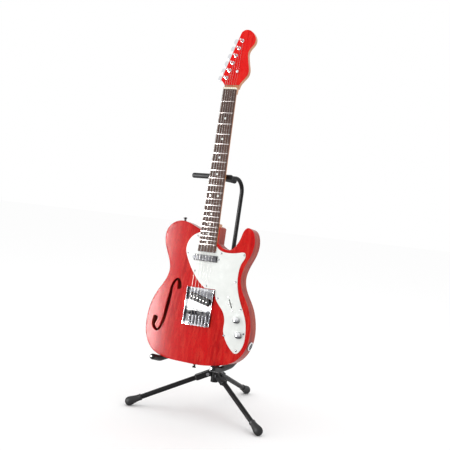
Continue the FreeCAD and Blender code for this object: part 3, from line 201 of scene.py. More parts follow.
def swept_rings(line, radius_at, segments=32):
    """Rings along a line; radius_at gives the radius from the share of the length."""
    rings = []
    tangent = (line[1] - line[0]).normalized()
    side = tangent.orthogonal().normalized()
    for index, point in enumerate(line):
        before = line[max(index - 1, 0)]
        after = line[min(index + 1, len(line) - 1)]
        new_tangent = (after - before).normalized()
        side = (tangent.rotation_difference(new_tangent) @ side).normalized()
        tangent = new_tangent
        other = tangent.cross(side)
        radius = radius_at(index / (len(line) - 1))
        rings.append([point + (side * math.cos(2 * math.pi * n / segments)
                               + other * math.sin(2 * math.pi * n / segments)) * radius
                      for n in range(segments)])
    return rings


# ---------------------------------------------------------------- material helpers
class Shader:
    """A Principled material with the few node patterns that the object's finishes share."""

    def __init__(self, name, colour, roughness, metallic=0.0, **sockets):
        self.material = bpy.data.materials.new(name)
        self.material.use_nodes = True
        self.tree = self.material.node_tree
        self.shader = self.tree.nodes["Principled BSDF"]
        self.shader.inputs["Base Color"].default_value = (*colour, 1)
        self.shader.inputs["Roughness"].default_value = roughness
        self.shader.inputs["Metallic"].default_value = metallic
        for socket, amount in sockets.items():
            self.shader.inputs[socket.replace("_", " ")].default_value = amount
        self.bump_from = None

    def node(self, kind, **settings):
        made = self.tree.nodes.new(kind)
        for name, amount in settings.items():
            if name in made.inputs:
                made.inputs[name].default_value = amount
            else:
                setattr(made, name, amount)
        return made

    def link(self, source, target):
        self.tree.links.new(source, target)

    def coordinates(self, scale=(1, 1, 1), turn=(0, 0, 0)):
        place = self.node("ShaderNodeTexCoord")
        mapping = self.node("ShaderNodeMapping")
        mapping.inputs["Rotation"].default_value = turn
        mapping.inputs["Scale"].default_value = scale
        self.link(place.outputs["Object"], mapping.inputs["Vector"])
        return mapping.outputs["Vector"]

    def noise(self, scale, detail=4.0, vector=None, roughness=0.5, distortion=0.0):
        noise = self.node("ShaderNodeTexNoise", Scale=scale, Detail=detail, Roughness=roughness,
                          Distortion=distortion)
        self.link(vector or self.coordinates(), noise.inputs["Vector"])
        return noise.outputs["Fac"]

    def ramp(self, value, stops):
        ramp = self.node("ShaderNodeValToRGB")
        elements = ramp.color_ramp.elements
        while len(elements) < len(stops):
            elements.new(0.5)
        for element, (position, colour) in zip(elements, stops):
            element.position = position
            element.color = (*colour, 1)
        self.link(value, ramp.inputs["Fac"])
        return ramp.outputs["Color"]

    def spread(self, value, low, high, start=0.3, end=0.7):
        """The value's middle range laid onto low to high."""
        node = self.node("ShaderNodeMapRange")
        for socket, amount in (("From Min", start), ("From Max", end), ("To Min", low),
                               ("To Max", high)):
            node.inputs[socket].default_value = amount
        self.link(value, node.inputs["Value"])
        return node.outputs["Result"]

    def mix(self, share, first, second, blend="MIX"):
        node = self.node("ShaderNodeMix")
        node.data_type = "RGBA"
        node.blend_type = blend
        for socket, source in ((node.inputs[0], share), (node.inputs[6], first),
                               (node.inputs[7], second)):
            if hasattr(source, "is_output"):
                self.link(source, socket)
            else:
                socket.default_value = (*source, 1) if isinstance(source, tuple) else source
        return node.outputs[2]

    def colour(self, source):
        self.link(source, self.shader.inputs["Base Color"])

    def rough(self, source):
        self.link(source, self.shader.inputs["Roughness"])

    def bump(self, height, strength, distance):
        bump = self.node("ShaderNodeBump", Strength=strength, Distance=distance)
        self.link(height, bump.inputs["Height"])
        if self.bump_from is not None:
            self.link(self.bump_from, bump.inputs["Normal"])
        self.bump_from = bump.outputs["Normal"]
        self.link(self.bump_from, self.shader.inputs["Normal"])

    def edge_wear(self, base, worn, amount=0.5):
        """Lighter along convex edges, from the geometry's pointiness."""
        geometry = self.node("ShaderNodeNewGeometry")
        share = self.spread(geometry.outputs["Pointiness"], 0.0, amount, 0.52, 0.62)
        return self.mix(share, base, worn)


# the wood grain runs up the guitar
LEAN = math.atan2(face_out.z, -face_out.y)
GRAIN_TURN = (LEAN, 0, 0)


def stained_wood(name, light, dark, streak, roughness, coat, fine=1.0):
    """Open-grained wood under a transparent colour and clear gloss."""
    shader = Shader(name, light, roughness, Coat_Weight=coat, Coat_Roughness=0.12,
                    Coat_IOR=1.25, Specular_IOR_Level=0.0)
    broad = shader.noise(1.0, 5.0, shader.coordinates((16, 16, 1.6), GRAIN_TURN), 0.6, 1.2)
    flame = shader.noise(1.0, 6.0, shader.coordinates((95, 95, 5.5), GRAIN_TURN), 0.62, 0.6)
    pores = shader.noise(1.0, 3.0, shader.coordinates((900, 900, 28), GRAIN_TURN), 0.55)
    base = shader.ramp(broad, [(0.30, dark), (0.52, light), (0.75, light)])
    streaks = shader.spread(flame, 0.0, 0.75 * fine, 0.46, 0.64)
    base = shader.mix(streaks, base, streak)
    pits = shader.spread(pores, 0.0, 0.52 * fine, 0.53, 0.68)
    base = shader.mix(pits, base, tuple(0.45 * channel for channel in dark))
    shader.colour(base)
    shader.rough(shader.spread(broad, roughness * 0.8, roughness * 1.3))
    shader.bump(pores, 0.06, 0.0002)
    return shader.material


CHROME_SMEAR = 0.06                  # how much rougher metal is where it is smeared


def plated_metal(name, colour, roughness):
    """Bright plating with faint polishing marks and finger smears."""
    shader = Shader(name, colour, roughness, 1.0)
    smears = shader.noise(38.0, 5.0)
    shader.rough(shader.spread(smears, roughness, roughness + CHROME_SMEAR, 0.45, 0.75))
    marks = shader.noise(1.0, 2.0, shader.coordinates((260, 1800, 260)))
    shader.bump(marks, 0.02, 0.0001)
    return shader.material


SHADE_CLOUD = 0.25                   # how far the painted dark underside's edge wanders
SHADE_START = -0.25
SHADE_END = 0.45
REFLECTION_BAND_SLANT = 0.12                    # the bridge's painted dark reflection bands drop this much towards the treble
REFLECTION_BAND_FLECK = 3                       # the flecks in a painted dark reflection band are this much brighter than it


def shaded_chrome(name, bright, dark, roughness):
    """Chrome painted dark where its surface faces down, as if a dark floor showed in it."""
    shader = Shader(name, bright, roughness, 1.0)
    geometry = shader.node("ShaderNodeNewGeometry")
    parts = shader.node("ShaderNodeSeparateXYZ")
    shader.link(geometry.outputs["Normal"], parts.inputs["Vector"])
    clouds = shader.spread(shader.noise(55.0, 3.0), -SHADE_CLOUD, SHADE_CLOUD)
    total = shader.node("ShaderNodeMath", operation="ADD")
    shader.link(parts.outputs["Z"], total.inputs[0])
    shader.link(clouds, total.inputs[1])
    lit = shader.spread(total.outputs["Value"], 0.0, 1.0, SHADE_START, SHADE_END)
    shader.colour(shader.mix(lit, dark, bright))
    shader.rough(shader.spread(shader.noise(38.0, 5.0), roughness, roughness + CHROME_SMEAR))
    return shader.material


def bridge_chrome(name, bright, dark, roughness, bands):
    """Chrome plate with painted dark reflection bands; bands are (millimetres from the nut, darkness)."""
    shader = Shader(name, bright, roughness, 1.0)
    places = shader.node("ShaderNodeTexCoord")
    down_plate = -up_neck - to_treble * REFLECTION_BAND_SLANT
    slanted = shader.node("ShaderNodeVectorMath", operation="DOT_PRODUCT")
    slanted.inputs[1].default_value = down_plate
    shader.link(places.outputs["Object"], slanted.inputs[0])
    start, end = bands[0][0], bands[-1][0]
    along = shader.spread(slanted.outputs["Value"], 0.0, 1.0,
                          on_face(0, start).dot(down_plate), on_face(0, end).dot(down_plate))
    shares = shader.ramp(along, [((place - start) / (end - start), (share,) * 3)
                                 for place, share in bands])
    clouds = shader.ramp(shader.noise(1.0, 3.0, shader.coordinates((420, 90, 90), GRAIN_TURN)),
                         [(0.40, (0.0,) * 3), (0.60, (1.0,) * 3)])
    mottled = shader.mix(clouds, tuple(REFLECTION_BAND_FLECK * channel for channel in dark), dark)
    # painted reflection: bright chrome mixed with the flecked dark bands
    shader.colour(shader.mix(shares, bright, mottled))
    shader.rough(shader.spread(shader.noise(38.0, 5.0), roughness, roughness + CHROME_SMEAR))
    return shader.material


def satin_enamel(name, colour, worn):
    """Black enamel on steel, with orange peel and a little wear on its edges."""
    shader = Shader(name, colour, 0.34, 0.0, Specular_IOR_Level=0.14)
    mottled = shader.ramp(shader.noise(22.0, 4.0), [(0.35, colour),
                                                     (0.7, tuple(1.5 * c for c in colour))])
    shader.colour(shader.edge_wear(mottled, worn, 0.35))
    shader.rough(shader.spread(shader.noise(60.0, 3.0), 0.27, 0.42))
    shader.bump(shader.noise(700.0, 2.0), 0.05, 0.0002)
    return shader.material


def soft_rubber(name, colour, roughness, grain, depth):
    """Matt rubber or foam with a fine closed-cell surface."""
    shader = Shader(name, colour, roughness, 0.0, Specular_IOR_Level=0.2)
    dusty = shader.ramp(shader.noise(30.0, 5.0), [(0.35, colour), (0.75, tuple(
        1.9 * c for c in colour))])
    shader.colour(dusty)
    shader.rough(shader.spread(shader.noise(45.0, 3.0), roughness - 0.08, roughness + 0.1))
    shader.bump(shader.noise(grain, 3.0), 0.25, depth)
    return shader.material


def moulded_plastic(name, colour, roughness, coat=0.0, swirl=None):
    """Moulded plastic; a swirl colour gives it a faint pearly cloud."""
    shader = Shader(name, colour, roughness, 0.0, Coat_Weight=coat, Coat_Roughness=0.05,
                    Specular_IOR_Level=0.3)
    if swirl:
        cloud = shader.noise(34.0, 6.0, None, 0.6, 2.4)
        shader.colour(shader.ramp(cloud, [(0.32, swirl), (0.62, colour)]))
    else:
        fine = shader.noise(120.0, 3.0)
        shader.colour(shader.ramp(fine, [(0.3, colour), (0.8, tuple(
            min(1.0, 1.25 * c + 0.004) for c in colour))]))
    shader.rough(shader.spread(shader.noise(50.0, 4.0), roughness * 0.85, roughness * 1.3))
    shader.bump(shader.noise(420.0, 2.0), 0.02, 0.0001)
    return shader.material


def bare_wood(name, light, dark, pore, roughness, coat=0.0, pore_scale=700):
    """Unstained wood with long grain lines and pores."""
    shader = Shader(name, light, roughness, Coat_Weight=coat, Coat_Roughness=0.15,
                    Specular_IOR_Level=0.2)
    figure = shader.noise(1.0, 6.0, shader.coordinates((60, 60, 2.5), GRAIN_TURN), 0.6, 0.8)
    pores = shader.noise(1.0, 3.0, shader.coordinates((pore_scale, pore_scale, 30), GRAIN_TURN), 0.6)
    base = shader.ramp(figure, [(0.3, dark), (0.7, light)])
    base = shader.mix(shader.spread(pores, 0.0, 0.7, 0.54, 0.68), base, pore)
    shader.colour(base)
    shader.rough(shader.spread(pores, roughness, roughness + 0.15))
    shader.bump(pores, 0.1, 0.0002)
    return shader.material


def wound_steel(name, colour, roughness):
    """Strings: fine windings across their length."""
    shader = Shader(name, colour, roughness, 1.0)
    wave = shader.node("ShaderNodeTexWave", Scale=900.0, Distortion=0.3)
    wave.bands_direction = "Z"
    shader.link(shader.coordinates((1, 1, 1), GRAIN_TURN), wave.inputs["Vector"])
    shader.bump(wave.outputs["Fac"], 0.3, 0.0001)
    shader.rough(shader.spread(shader.noise(90.0, 3.0), roughness, roughness + 0.15))
    return shader.material


# ---------------------------------------------------------------- finishes
CHERRY = (0.60, 0.005, 0.006)
CHERRY_DARK = (0.34, 0.002, 0.003)
CHERRY_LIGHT = (0.68, 0.035, 0.022)
top_wood = stained_wood("cherry_top", CHERRY, CHERRY_DARK, CHERRY_LIGHT, 0.34, 0.6)
back_wood = stained_wood("cherry_back", (0.30, 0.026, 0.018), (0.17, 0.010, 0.008),
                         (0.42, 0.09, 0.05), 0.36, 0.8)
head_wood = stained_wood("cherry_head", (0.78, 0.010, 0.010), (0.52, 0.004, 0.005),
                         (0.86, 0.05, 0.03), 0.34, 0.6, 0.6)
neck_wood = bare_wood("neck_wood", (0.62, 0.28, 0.115), (0.44, 0.17, 0.070),
                      (0.16, 0.05, 0.02), 0.32, 0.6)
board_wood = bare_wood("board_wood", (0.115, 0.052, 0.036), (0.055, 0.024, 0.018),
                       (0.018, 0.008, 0.006), 0.60, 0.0, 900)
chrome = plated_metal("chrome", (0.74, 0.75, 0.77), 0.09)
# painted dark reflection bands on the bridge plate: (millimetres from the nut, darkness)
plate_chrome = bridge_chrome("plate_chrome", (0.86, 0.87, 0.89), (0.05, 0.05, 0.055), 0.10, [
    (586.0, 0.75), (588.0, 0.95), (620.0, 0.90), (624.0, 0.0), (640.0, 0.0), (644.0, 0.55),
    (655.0, 0.95), (682.0, 0.85), (687.0, 0.1)])
# painted reflections: saddles and knobs are painted dark where they face down; the neck pickup cover's chrome is
# painted near-black all over
saddle_steel = shaded_chrome("saddle_steel", (0.62, 0.62, 0.63), (0.03, 0.03, 0.035), 0.16)
knob_chrome = shaded_chrome("knob_chrome", (0.80, 0.81, 0.83), (0.06, 0.06, 0.07), 0.12)
reflection_painted_chrome = shaded_chrome("reflection_painted_chrome", (0.16, 0.16, 0.17), (0.02, 0.02, 0.022), 0.14)
polished = plated_metal("polished_steel", (0.60, 0.60, 0.59), 0.20)
screw_steel = plated_metal("screw_steel", (0.16, 0.16, 0.17), 0.26)
fret_wire = plated_metal("fret_wire", (0.40, 0.36, 0.35), 0.24)
dull_steel = plated_metal("dull_steel", (0.40, 0.40, 0.40), 0.34)
enamel = satin_enamel("black_enamel", (0.007, 0.007, 0.008), (0.07, 0.07, 0.07))
foam = soft_rubber("foam_sleeve", (0.008, 0.008, 0.009), 0.50, 1400.0, 0.0006)
arm_rubber = soft_rubber("arm_sleeve", (0.007, 0.007, 0.008), 0.36, 1100.0, 0.0003)
foot_rubber = soft_rubber("foot_rubber", (0.020, 0.020, 0.021), 0.55, 900.0, 0.0004)
black_plastic = moulded_plastic("black_plastic", (0.016, 0.016, 0.017), 0.38)
gloss_black = moulded_plastic("gloss_black", (0.010, 0.010, 0.011), 0.15, 0.4)
pearl = moulded_plastic("pearl_plate", (0.80, 0.82, 0.79), 0.22, 0.10, (0.76, 0.79, 0.76))
wound_thread = moulded_plastic("wound_thread", (0.020, 0.018, 0.016), 0.6)
cream = moulded_plastic("cream_edge", (0.88, 0.80, 0.58), 0.28)
dot_pearl = moulded_plastic("dot_pearl", (0.86, 0.86, 0.82), 0.2, 0.4, (0.66, 0.68, 0.66))
bone = moulded_plastic("nut_bone", (0.86, 0.80, 0.64), 0.30, 0.2)
string_steel = wound_steel("string_steel", (0.40, 0.38, 0.36), 0.26)

FINISHES = {
    "body_top": top_wood, "body_back": back_wood, "headstock_facing": head_wood,
    "neck": neck_wood, "fingerboard": board_wood, "truss_rod": dull_steel,
    "inlay_dots": dot_pearl, "frets": fret_wire, "nut": bone, "pickguard": pearl,
    "neck_pickup_cover": reflection_painted_chrome, "neck_pickup_coil": black_plastic, "bridge_plate": plate_chrome,
    "saddles": saddle_steel, "intonation_screws": screw_steel, "saddle_springs": screw_steel,
    "bridge_pickup": gloss_black, "tuner_housings": chrome, "string_guide": chrome,
    "strings": string_steel, "string_ferrules": chrome, "pot_housings": dull_steel,
    "volume_knob": knob_chrome, "tone_knob": knob_chrome, "switch_frame": dull_steel,
    "switch_lever": polished, "neck_plate": chrome, "neck_screws": polished,
    "pickguard_screws": screw_steel, "bridge_screws": polished, "jack_cup": chrome,
    "jack_socket": polished, "strap_buttons": gloss_black,
    "hub": enamel, "leg_pins": screw_steel, "lower_post": enamel, "height_collar": black_plastic,
    "clamp_screw": black_plastic, "upper_post": enamel, "cradle_yoke": enamel,
    "neck_rest_sleeve": foam, "cradle_sleeves": foam,
}
for side in ("left", "right", "back"):
    FINISHES["leg_" + side] = enamel
    FINISHES["foot_" + side] = foot_rubber
for number in range(1, 7):
    FINISHES["tuner_post_%d" % number] = chrome
    FINISHES["tuner_button_%d" % number] = chrome

# small rounding of the worked edges, in millimetres; the rest keep their edges
ROUNDED = {
    "pickguard": 1.1, "bridge_plate": 0.25, "saddles": 0.5, "tuner_housings": 1.0,
    "nut": 0.35, "frets": 0.45, "fingerboard": 0.4, "headstock_facing": 0.35,
    "neck_plate": 0.6, "height_collar": 1.2, "clamp_screw": 0.9, "hub": 0.8,
    "leg_left": 0.8, "leg_right": 0.8, "leg_back": 0.8, "cradle_yoke": 1.2, "jack_cup": 0.3,
    "strap_buttons": 0.5, "neck": 0.5, "switch_lever": 0.4, "neck_pickup_cover": 0.2,
    "string_guide": 0.3, "lower_post": 0.3,
}
for number in range(1, 7):
    ROUNDED["tuner_button_%d" % number] = 0.9
    ROUNDED["tuner_post_%d" % number] = 0.3
EDGE_ANGLE = math.radians(38)
WELD_DISTANCE = 0.005 * MM
NORMAL_WEIGHT = 80


def round_edges(thing, width, edge_material=None):
    """Rounds a node's edges; an edge material makes them one flat band of that colour."""
    mesh = thing.data
    mesh.shade_smooth()
    if "custom_normal" in mesh.attributes:
        mesh.attributes.remove(mesh.attributes["custom_normal"])
    weld = thing.modifiers.new("Weld", "WELD")
    weld.merge_threshold = WELD_DISTANCE
    if edge_material:
        mesh.materials.append(edge_material)
    bevel = thing.modifiers.new("Round", "BEVEL")
    bevel.width = width
    bevel.segments = 1 if edge_material else 2
    bevel.limit_method = "ANGLE"
    bevel.angle_limit = EDGE_ANGLE
    bevel.material = 1 if edge_material else -1
    normals = thing.modifiers.new("Normals", "WEIGHTED_NORMAL")
    normals.keep_sharp = True
    normals.weight = NORMAL_WEIGHT


for name, thing in nodes.items():
    thing.data.materials.clear()
    thing.data.materials.append(FINISHES[name])
    if name in ROUNDED:
        round_edges(thing, ROUNDED[name] * MM, cream if name == "pickguard" else None)

# ---------------------------------------------------------------- rubber feet
FOOT_CENTRE_HEIGHT = 13.0 * MM
FOOT_PROFILE = [
    (0.0, 13.4), (3.2, 13.1), (6.6, 11.9), (9.8, 9.4), (12.1, 6.0), (13.3, 1.8), (13.4, -2.4),
    (12.9, -7.0), (12.0, -11.8), (11.0, -17.0), (10.1, -22.4), (9.5, -27.6), (9.3, -31.8),
    (9.7, -33.4), (9.9, -35.4), (9.6, -37.4), (8.6, -38.3), (7.6, -38.4),
]
RING_PROFILE = [(7.5, 32.5), (9.3, 32.9), (9.7, 34.0), (9.7, 37.0), (9.3, 38.2), (7.5, 38.6)]


def foot_builder(place):
    """A maraca-shaped boot, flat where it stands on the floor."""
    rings = turned_rings(FOOT_PROFILE, place, 56)
    for ring in rings:
        for point in ring:
            point.z = max(point.z, 0.0)

    def build(builder):
        ring_mesh(builder, rings, False)
    return build


for side in ("left", "right", "back"):
    pin = Vector(joints["leg_%s_fold" % side]["pos_m"])
    bulb = Vector(mounts["floor_" + side]["pos_m"]) + Z_AXIS * FOOT_CENTRE_HEIGHT
    boot = new_piece("foot_boot_" + side, foot_builder(axes_matrix(bulb, Z_AXIS, bulb - pin)),
                     "leg_" + side, foot_rubber)
    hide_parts("foot_" + side)
    new_piece("leg_ring_" + side, turned_builder(
        RING_PROFILE, [axes_matrix(pin, Z_AXIS, bulb - pin)], closed=False),
        "leg_" + side, black_plastic)

# ---------------------------------------------------------------- neck rest
REST_TURN = math.radians(7)
bar_axis = Quaternion(post_axis, -REST_TURN) @ level_x
stem_axis = bar_axis.cross(post_axis).normalized()
bar_ends = [end_centre("neck_rest_sleeve", -bar_axis), end_centre("neck_rest_sleeve", bar_axis)]
bar_middle = (bar_ends[0] + bar_ends[1]) / 2
bar_length = (bar_ends[1] - bar_ends[0]).length
stem_back = max((end_centre("neck_rest_sleeve", way) for way in (stem_axis, -stem_axis)),
                key=lambda point: point.y)
REST_RADIUS = 7.7 * MM
REST_END_ROUND = 4.5 * MM
END_DROP = 0.9                       # 1 would round the end to a point
LEAST_END = 0.03
STEM_FLARE = 0.7 * MM
FLARE_START = 0.86                   # share of the stem's length


def rounded_end(from_end, reach):
    """Share of the full radius at a distance from a rounded end."""
    if from_end >= reach:
        return 1.0
    return math.sqrt(max(LEAST_END, 1 - END_DROP * (1 - from_end / reach) ** 2))


def bar_radius(share):
    return REST_RADIUS * rounded_end(min(share, 1 - share) * bar_length, REST_END_ROUND)


def stem_radius(share):
    """Flared where the sleeve ends on the post."""
    return REST_RADIUS * 0.97 + STEM_FLARE * max(0.0, (share - FLARE_START) / (1 - FLARE_START))


def build_rest(builder):
    ring_mesh(builder, swept_rings(even_line(bar_ends, 1.0 * MM), bar_radius, 40))
    ring_mesh(builder, swept_rings(even_line([bar_middle, stem_back], 2.0 * MM), stem_radius, 40))


rest = new_piece("neck_rest_foam", build_rest, "upper", foam)
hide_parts("neck_rest_sleeve")

# ---------------------------------------------------------------- cradle sleeves
LUG_REACH = 23.0 * MM
ARM_RADIUS = 8.5 * MM
ARM_TIP_RUN = 42.0 * MM
ARM_TIP_RISE = 11.5 * MM
ARM_BACK_LOW = 100.0 * MM
ARM_REAR = 62.0 * MM
ARM_REAR_RISE = 13.0 * MM
YOKE_BEHIND = 34.0 * MM
YOKE_HEIGHT = 208.0 * MM
ARM_BENDS = (60 * MM, 60 * MM, 40 * MM)
ARM_FRONT_REACH = ARM_RADIUS * 0.89  # keeps the rounded tip inside the CAD box
ARM_REAR_ROUND = 2.5 * MM
ARM_STEP = 1.5 * MM
hub_y = Vector(joints["leg_back_fold"]["pos_m"]).y - LUG_REACH
arms_low, arms_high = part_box("cradle_sleeves")
arm_level = arms_low.z + ARM_RADIUS
arm_x = arms_high.x - ARM_RADIUS
tip_y = arms_low.y + ARM_RADIUS


def arm_line(side):
    corners = [
        Vector((side * arm_x, tip_y, arm_level + ARM_TIP_RISE)),
        Vector((side * arm_x, tip_y + ARM_TIP_RUN, arm_level)),
        Vector((side * arm_x, hub_y - ARM_BACK_LOW, arm_level)),
        Vector((side * arm_x, hub_y - ARM_REAR, arm_level + ARM_REAR_RISE)),
        Vector((side * arm_x, hub_y - YOKE_BEHIND, YOKE_HEIGHT)),
    ]
    line = rounded_line(corners, ARM_BENDS)[:-1]
    front = (line[0] - line[1]).normalized() * ARM_FRONT_REACH
    return even_line([line[0] + front] + line, ARM_STEP)


def arm_radius_for(length):
    def radius(share):
        front = rounded_end(share * length, ARM_RADIUS)
        rear = rounded_end((1 - share) * length, ARM_REAR_ROUND)
        return ARM_RADIUS * min(front, rear)
    return radius


def build_arms(builder):
    for side in (-1, 1):
        line = arm_line(side)
        length = sum((b - a).length for a, b in zip(line, line[1:]))
        ring_mesh(builder, swept_rings(line, arm_radius_for(length), 40))


arms = new_piece("cradle_foam", build_arms, "stand", arm_rubber)
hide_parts("cradle_sleeves")

PLUG_PROFILE = [(0.0, 0.35), (1.6, 0.25), (2.6, -0.1), (2.9, -0.8), (0.0, -0.8)]


def build_tip_plugs(builder):
    for side in (-1, 1):
        line = arm_line(side)
        outward = (line[0] - line[1]).normalized()
        ring_mesh(builder, turned_rings(PLUG_PROFILE, axes_matrix(line[0], to_treble, outward), 32))


new_piece("arm_tip_plugs", build_tip_plugs, "stand", chrome)

# ---------------------------------------------------------------- knobs
KNURLS = 44
KNURL_DEPTH = 0.035                  # share of the radius
KNURLED_FROM = 2.0
KNURLED_TO = 11.0
KNOB_PROFILE = [
    (0.0, 15.3), (3.0, 15.1), (5.6, 14.5), (7.4, 13.6), (8.35, 12.5), (8.6, 11.6), (8.45, 11.3),
    (8.75, 10.9), (8.9, 8.0), (9.05, 5.0), (9.2, 2.2), (9.0, 1.8), (9.3, 1.5), (9.3, 0.9),
    (9.0, 0.62), (5.9, 0.62), (5.9, 3.4), (0.0, 3.4),
]


def knurled(angle, height):
    """Share of the radius round a knob's side."""
    if KNURLED_FROM < height < KNURLED_TO:
        return 1 - KNURL_DEPTH * abs(math.sin(KNURLS * angle / 2))
    return 1.0


for label in ("volume", "tone"):
    spot = Vector(joints[label + "_turn"]["pos_m"])
    knob = new_piece(label + "_dome_knob", turned_builder(
        KNOB_PROFILE, [axes_matrix(spot, to_treble, face_out)], 6 * KNURLS, knurled),
        label + "_knob", knob_chrome)
    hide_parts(label + "_knob")

# ---------------------------------------------------------------- screws with cross recesses
def islands(node):
    """The separate solids of a node, each as a list of its points."""
    builder = bmesh.new()
    builder.from_mesh(nodes[node].data)
    bmesh.ops.remove_doubles(builder, verts=builder.verts, dist=0.01 * MM)
    left = set(builder.verts)
    found = []
    while left:
        reached = {left.pop()}
        edge = set(reached)
        while edge:
            ahead = {link.other_vert(vertex) for vertex in edge for link in vertex.link_edges}
            edge = ahead - reached
            reached |= edge
        left -= reached
        found.append([vertex.co.copy() for vertex in reached])
    builder.free()
    return sorted(found, key=lambda group: sum(p.x + 3 * p.z for p in group) / len(group))


def middle(points):
    """Middle of the points' box in the guitar's own directions."""
    centre = Vector()
    for axis in (to_treble, up_neck, face_out):
        reach = [point.dot(axis) for point in points]
        centre += axis * (min(reach) + max(reach)) / 2
    return centre


def seat(points, outward):
    """Foot of a small solid that stands on a face, on its middle line."""
    low = min(point.dot(outward) for point in points)
    centre = middle(points)
    return centre + outward * (low - centre.dot(outward))


DOME_STEPS = 6
DOME_POWER = 2.4                     # 2 is a round dome, more is flatter in its middle
HEAD_RIM = 0.15
HEAD_SEGMENTS = 40
HEAD_MERGE_DISTANCE = 1e-8           # metres
CROSS_LENGTH = 1.25                  # of the head's radius
CROSS_WIDTH = 0.26
SCREW_TWIST = 0.65                   # radians from one screw's cross to the next


def cross_headed(radius, height, crown):
    """One screw head with a cross cut into its dome."""
    profile = [(0.0, height)]
    for step in range(1, DOME_STEPS + 1):
        share = step / DOME_STEPS
        profile.append((radius * share, height - crown * share ** DOME_POWER))
    profile += [(radius, height - crown - HEAD_RIM), (radius * 0.94, 0.0), (0.0, 0.0)]
    head = built_mesh("head", turned_builder(profile, [Matrix.Identity(4)], HEAD_SEGMENTS),
                      merge=HEAD_MERGE_DISTANCE)
    cutter = bpy.data.meshes.new("cross")
    builder = bmesh.new()
    for length, width in ((CROSS_LENGTH, CROSS_WIDTH), (CROSS_WIDTH, CROSS_LENGTH)):
        size = Matrix.Diagonal((radius * length * MM, radius * width * MM, 1.2 * height * MM, 1))
        lift = Matrix.Translation((0, 0, height * 1.02 * MM))
        bmesh.ops.create_cube(builder, size=1.0, matrix=lift @ size)
    builder.to_mesh(cutter)
    builder.free()
    head_object = bpy.data.objects.new("head", head)
    cutter_object = bpy.data.objects.new("cross", cutter)
    for thing in (head_object, cutter_object):
        bpy.context.scene.collection.objects.link(thing)
    modifier = head_object.modifiers.new("Cross", "BOOLEAN")
    modifier.object = cutter_object
    modifier.operation = "DIFFERENCE"
    modifier.solver = "EXACT"
    modifier.use_self = True
    bpy.context.view_layer.update()
    graph = bpy.context.evaluated_depsgraph_get()
    made = bpy.data.meshes.new_from_object(head_object.evaluated_get(graph))
    for thing in (head_object, cutter_object):
        bpy.data.objects.remove(thing)
    return made


def screw_heads(name, node, outward, radius, height, crown):
    """Cross-headed screws in place of a node's plain heads."""
    head = cross_headed(radius, height, crown)

    def build(builder):
        for index, points in enumerate(islands(node)):
            turn = Quaternion(outward, SCREW_TWIST * index) @ to_treble
            copy = head.copy()
            copy.transform(axes_matrix(seat(points, outward), turn, outward))
            builder.from_mesh(copy)
    piece = new_piece(name, build, "guitar", screw_steel, smooth=False)
    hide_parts(node)
    normals = piece.modifiers.new("Normals", "WEIGHTED_NORMAL")
    normals.keep_sharp = True


screw_heads("pickguard_cross_screws", "pickguard_screws", face_out, 2.9, 1.25, 0.7)
screw_heads("bridge_cross_screws", "bridge_screws", face_out, 3.1, 1.6, 0.8)

# ---------------------------------------------------------------- bridge pickup
PICKUP_SLANT = math.radians(14)
POLE_SPACING = 10.2
STADIUM_STEPS = 14
POLES = 6
COIL_LAYERS = 26
COIL_LOW = 1.4
COIL_RISE = 4.6
COIL_SWELL = 0.35                    # every other layer stands out, like wound thread
pickup_across = Quaternion(face_out, -PICKUP_SLANT) @ to_treble
pickup_points = points_of("bridge_pickup")
pickup_top = max((point - nut_point).dot(face_out) for point in pickup_points)
pickup_centre = middle(pickup_points)
pickup_level = pickup_centre - face_out * (pickup_centre - nut_point).dot(face_out)
pickup_place = axes_matrix(pickup_level, pickup_across, face_out)


def stadium(length, width, height):
    """A round-ended outline at one height."""
    ring = []
    radius = width / 2
    for end in (1, -1):
        for step in range(STADIUM_STEPS + 1):
            angle = math.pi * (step / STADIUM_STEPS - 0.5) + (0 if end == 1 else math.pi)
            ring.append(pickup_place @ (Vector((end * (length / 2 - radius)
                                                + radius * math.cos(angle),
                                                radius * math.sin(angle), height)) * MM))
    return ring


def build_coil(builder):
    rings = [stadium(62.0, 14.0, -8.0)]
    for layer in range(COIL_LAYERS):
        height = COIL_LOW + COIL_RISE * layer / (COIL_LAYERS - 1)
        swell = COIL_SWELL * (layer % 2)
        rings.append(stadium(65.2 + swell, 17.2 + swell, height))
    ring_mesh(builder, rings)


def build_bobbin(builder):
    ring_mesh(builder, [stadium(66.0, 18.4, 6.0), stadium(67.0, 19.4, 6.3), stadium(67.0, 19.4, 7.6),
                        stadium(66.2, 18.6, 8.0)])


def build_poles(builder):
    profile = [(0.0, pickup_top / MM - 0.1), (1.7, pickup_top / MM - 0.2),
               (2.4, pickup_top / MM - 0.8), (2.4, 5.0), (0.0, 5.0)]
    for number in range(POLES):
        across = (number - (POLES - 1) / 2) * POLE_SPACING
        shift = Matrix.Translation((across * MM, 0, 0))
        ring_mesh(builder, turned_rings(profile, pickup_place @ shift, 28))


bobbin = new_piece("pickup_bobbin", build_bobbin, "guitar", gloss_black, False)
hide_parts("bridge_pickup")
new_piece("pickup_winding", build_coil, "guitar", wound_thread)
new_piece("pickup_poles", build_poles, "guitar", polished)

# ---------------------------------------------------------------- saddle height screws
HEIGHT_SCREW_ACROSS = 3.2
HEIGHT_SCREW_BACK = 2.6
HEIGHT_SCREW_PROFILE = [(0.0, 0.5), (0.55, 0.5), (0.55, 0.9), (1.05, 0.9), (1.2, 0.7),
                        (1.2, -6.0), (0.0, -6.0)]


def build_height_screws(builder):
    for points in islands("saddles"):
        centre = middle(points)
        top = max(point.dot(face_out) for point in points)
        front = max(point.dot(up_neck) for point in points)
        for side in (-1, 1):
            spot = centre + to_treble * side * HEIGHT_SCREW_ACROSS * MM
            spot += up_neck * (front - HEIGHT_SCREW_BACK * MM - spot.dot(up_neck))
            spot += face_out * (top - spot.dot(face_out))
            ring_mesh(builder, turned_rings(HEIGHT_SCREW_PROFILE,
                                            axes_matrix(spot, to_treble, face_out), 20))


new_piece("saddle_height_screws", build_height_screws, "guitar", dull_steel)

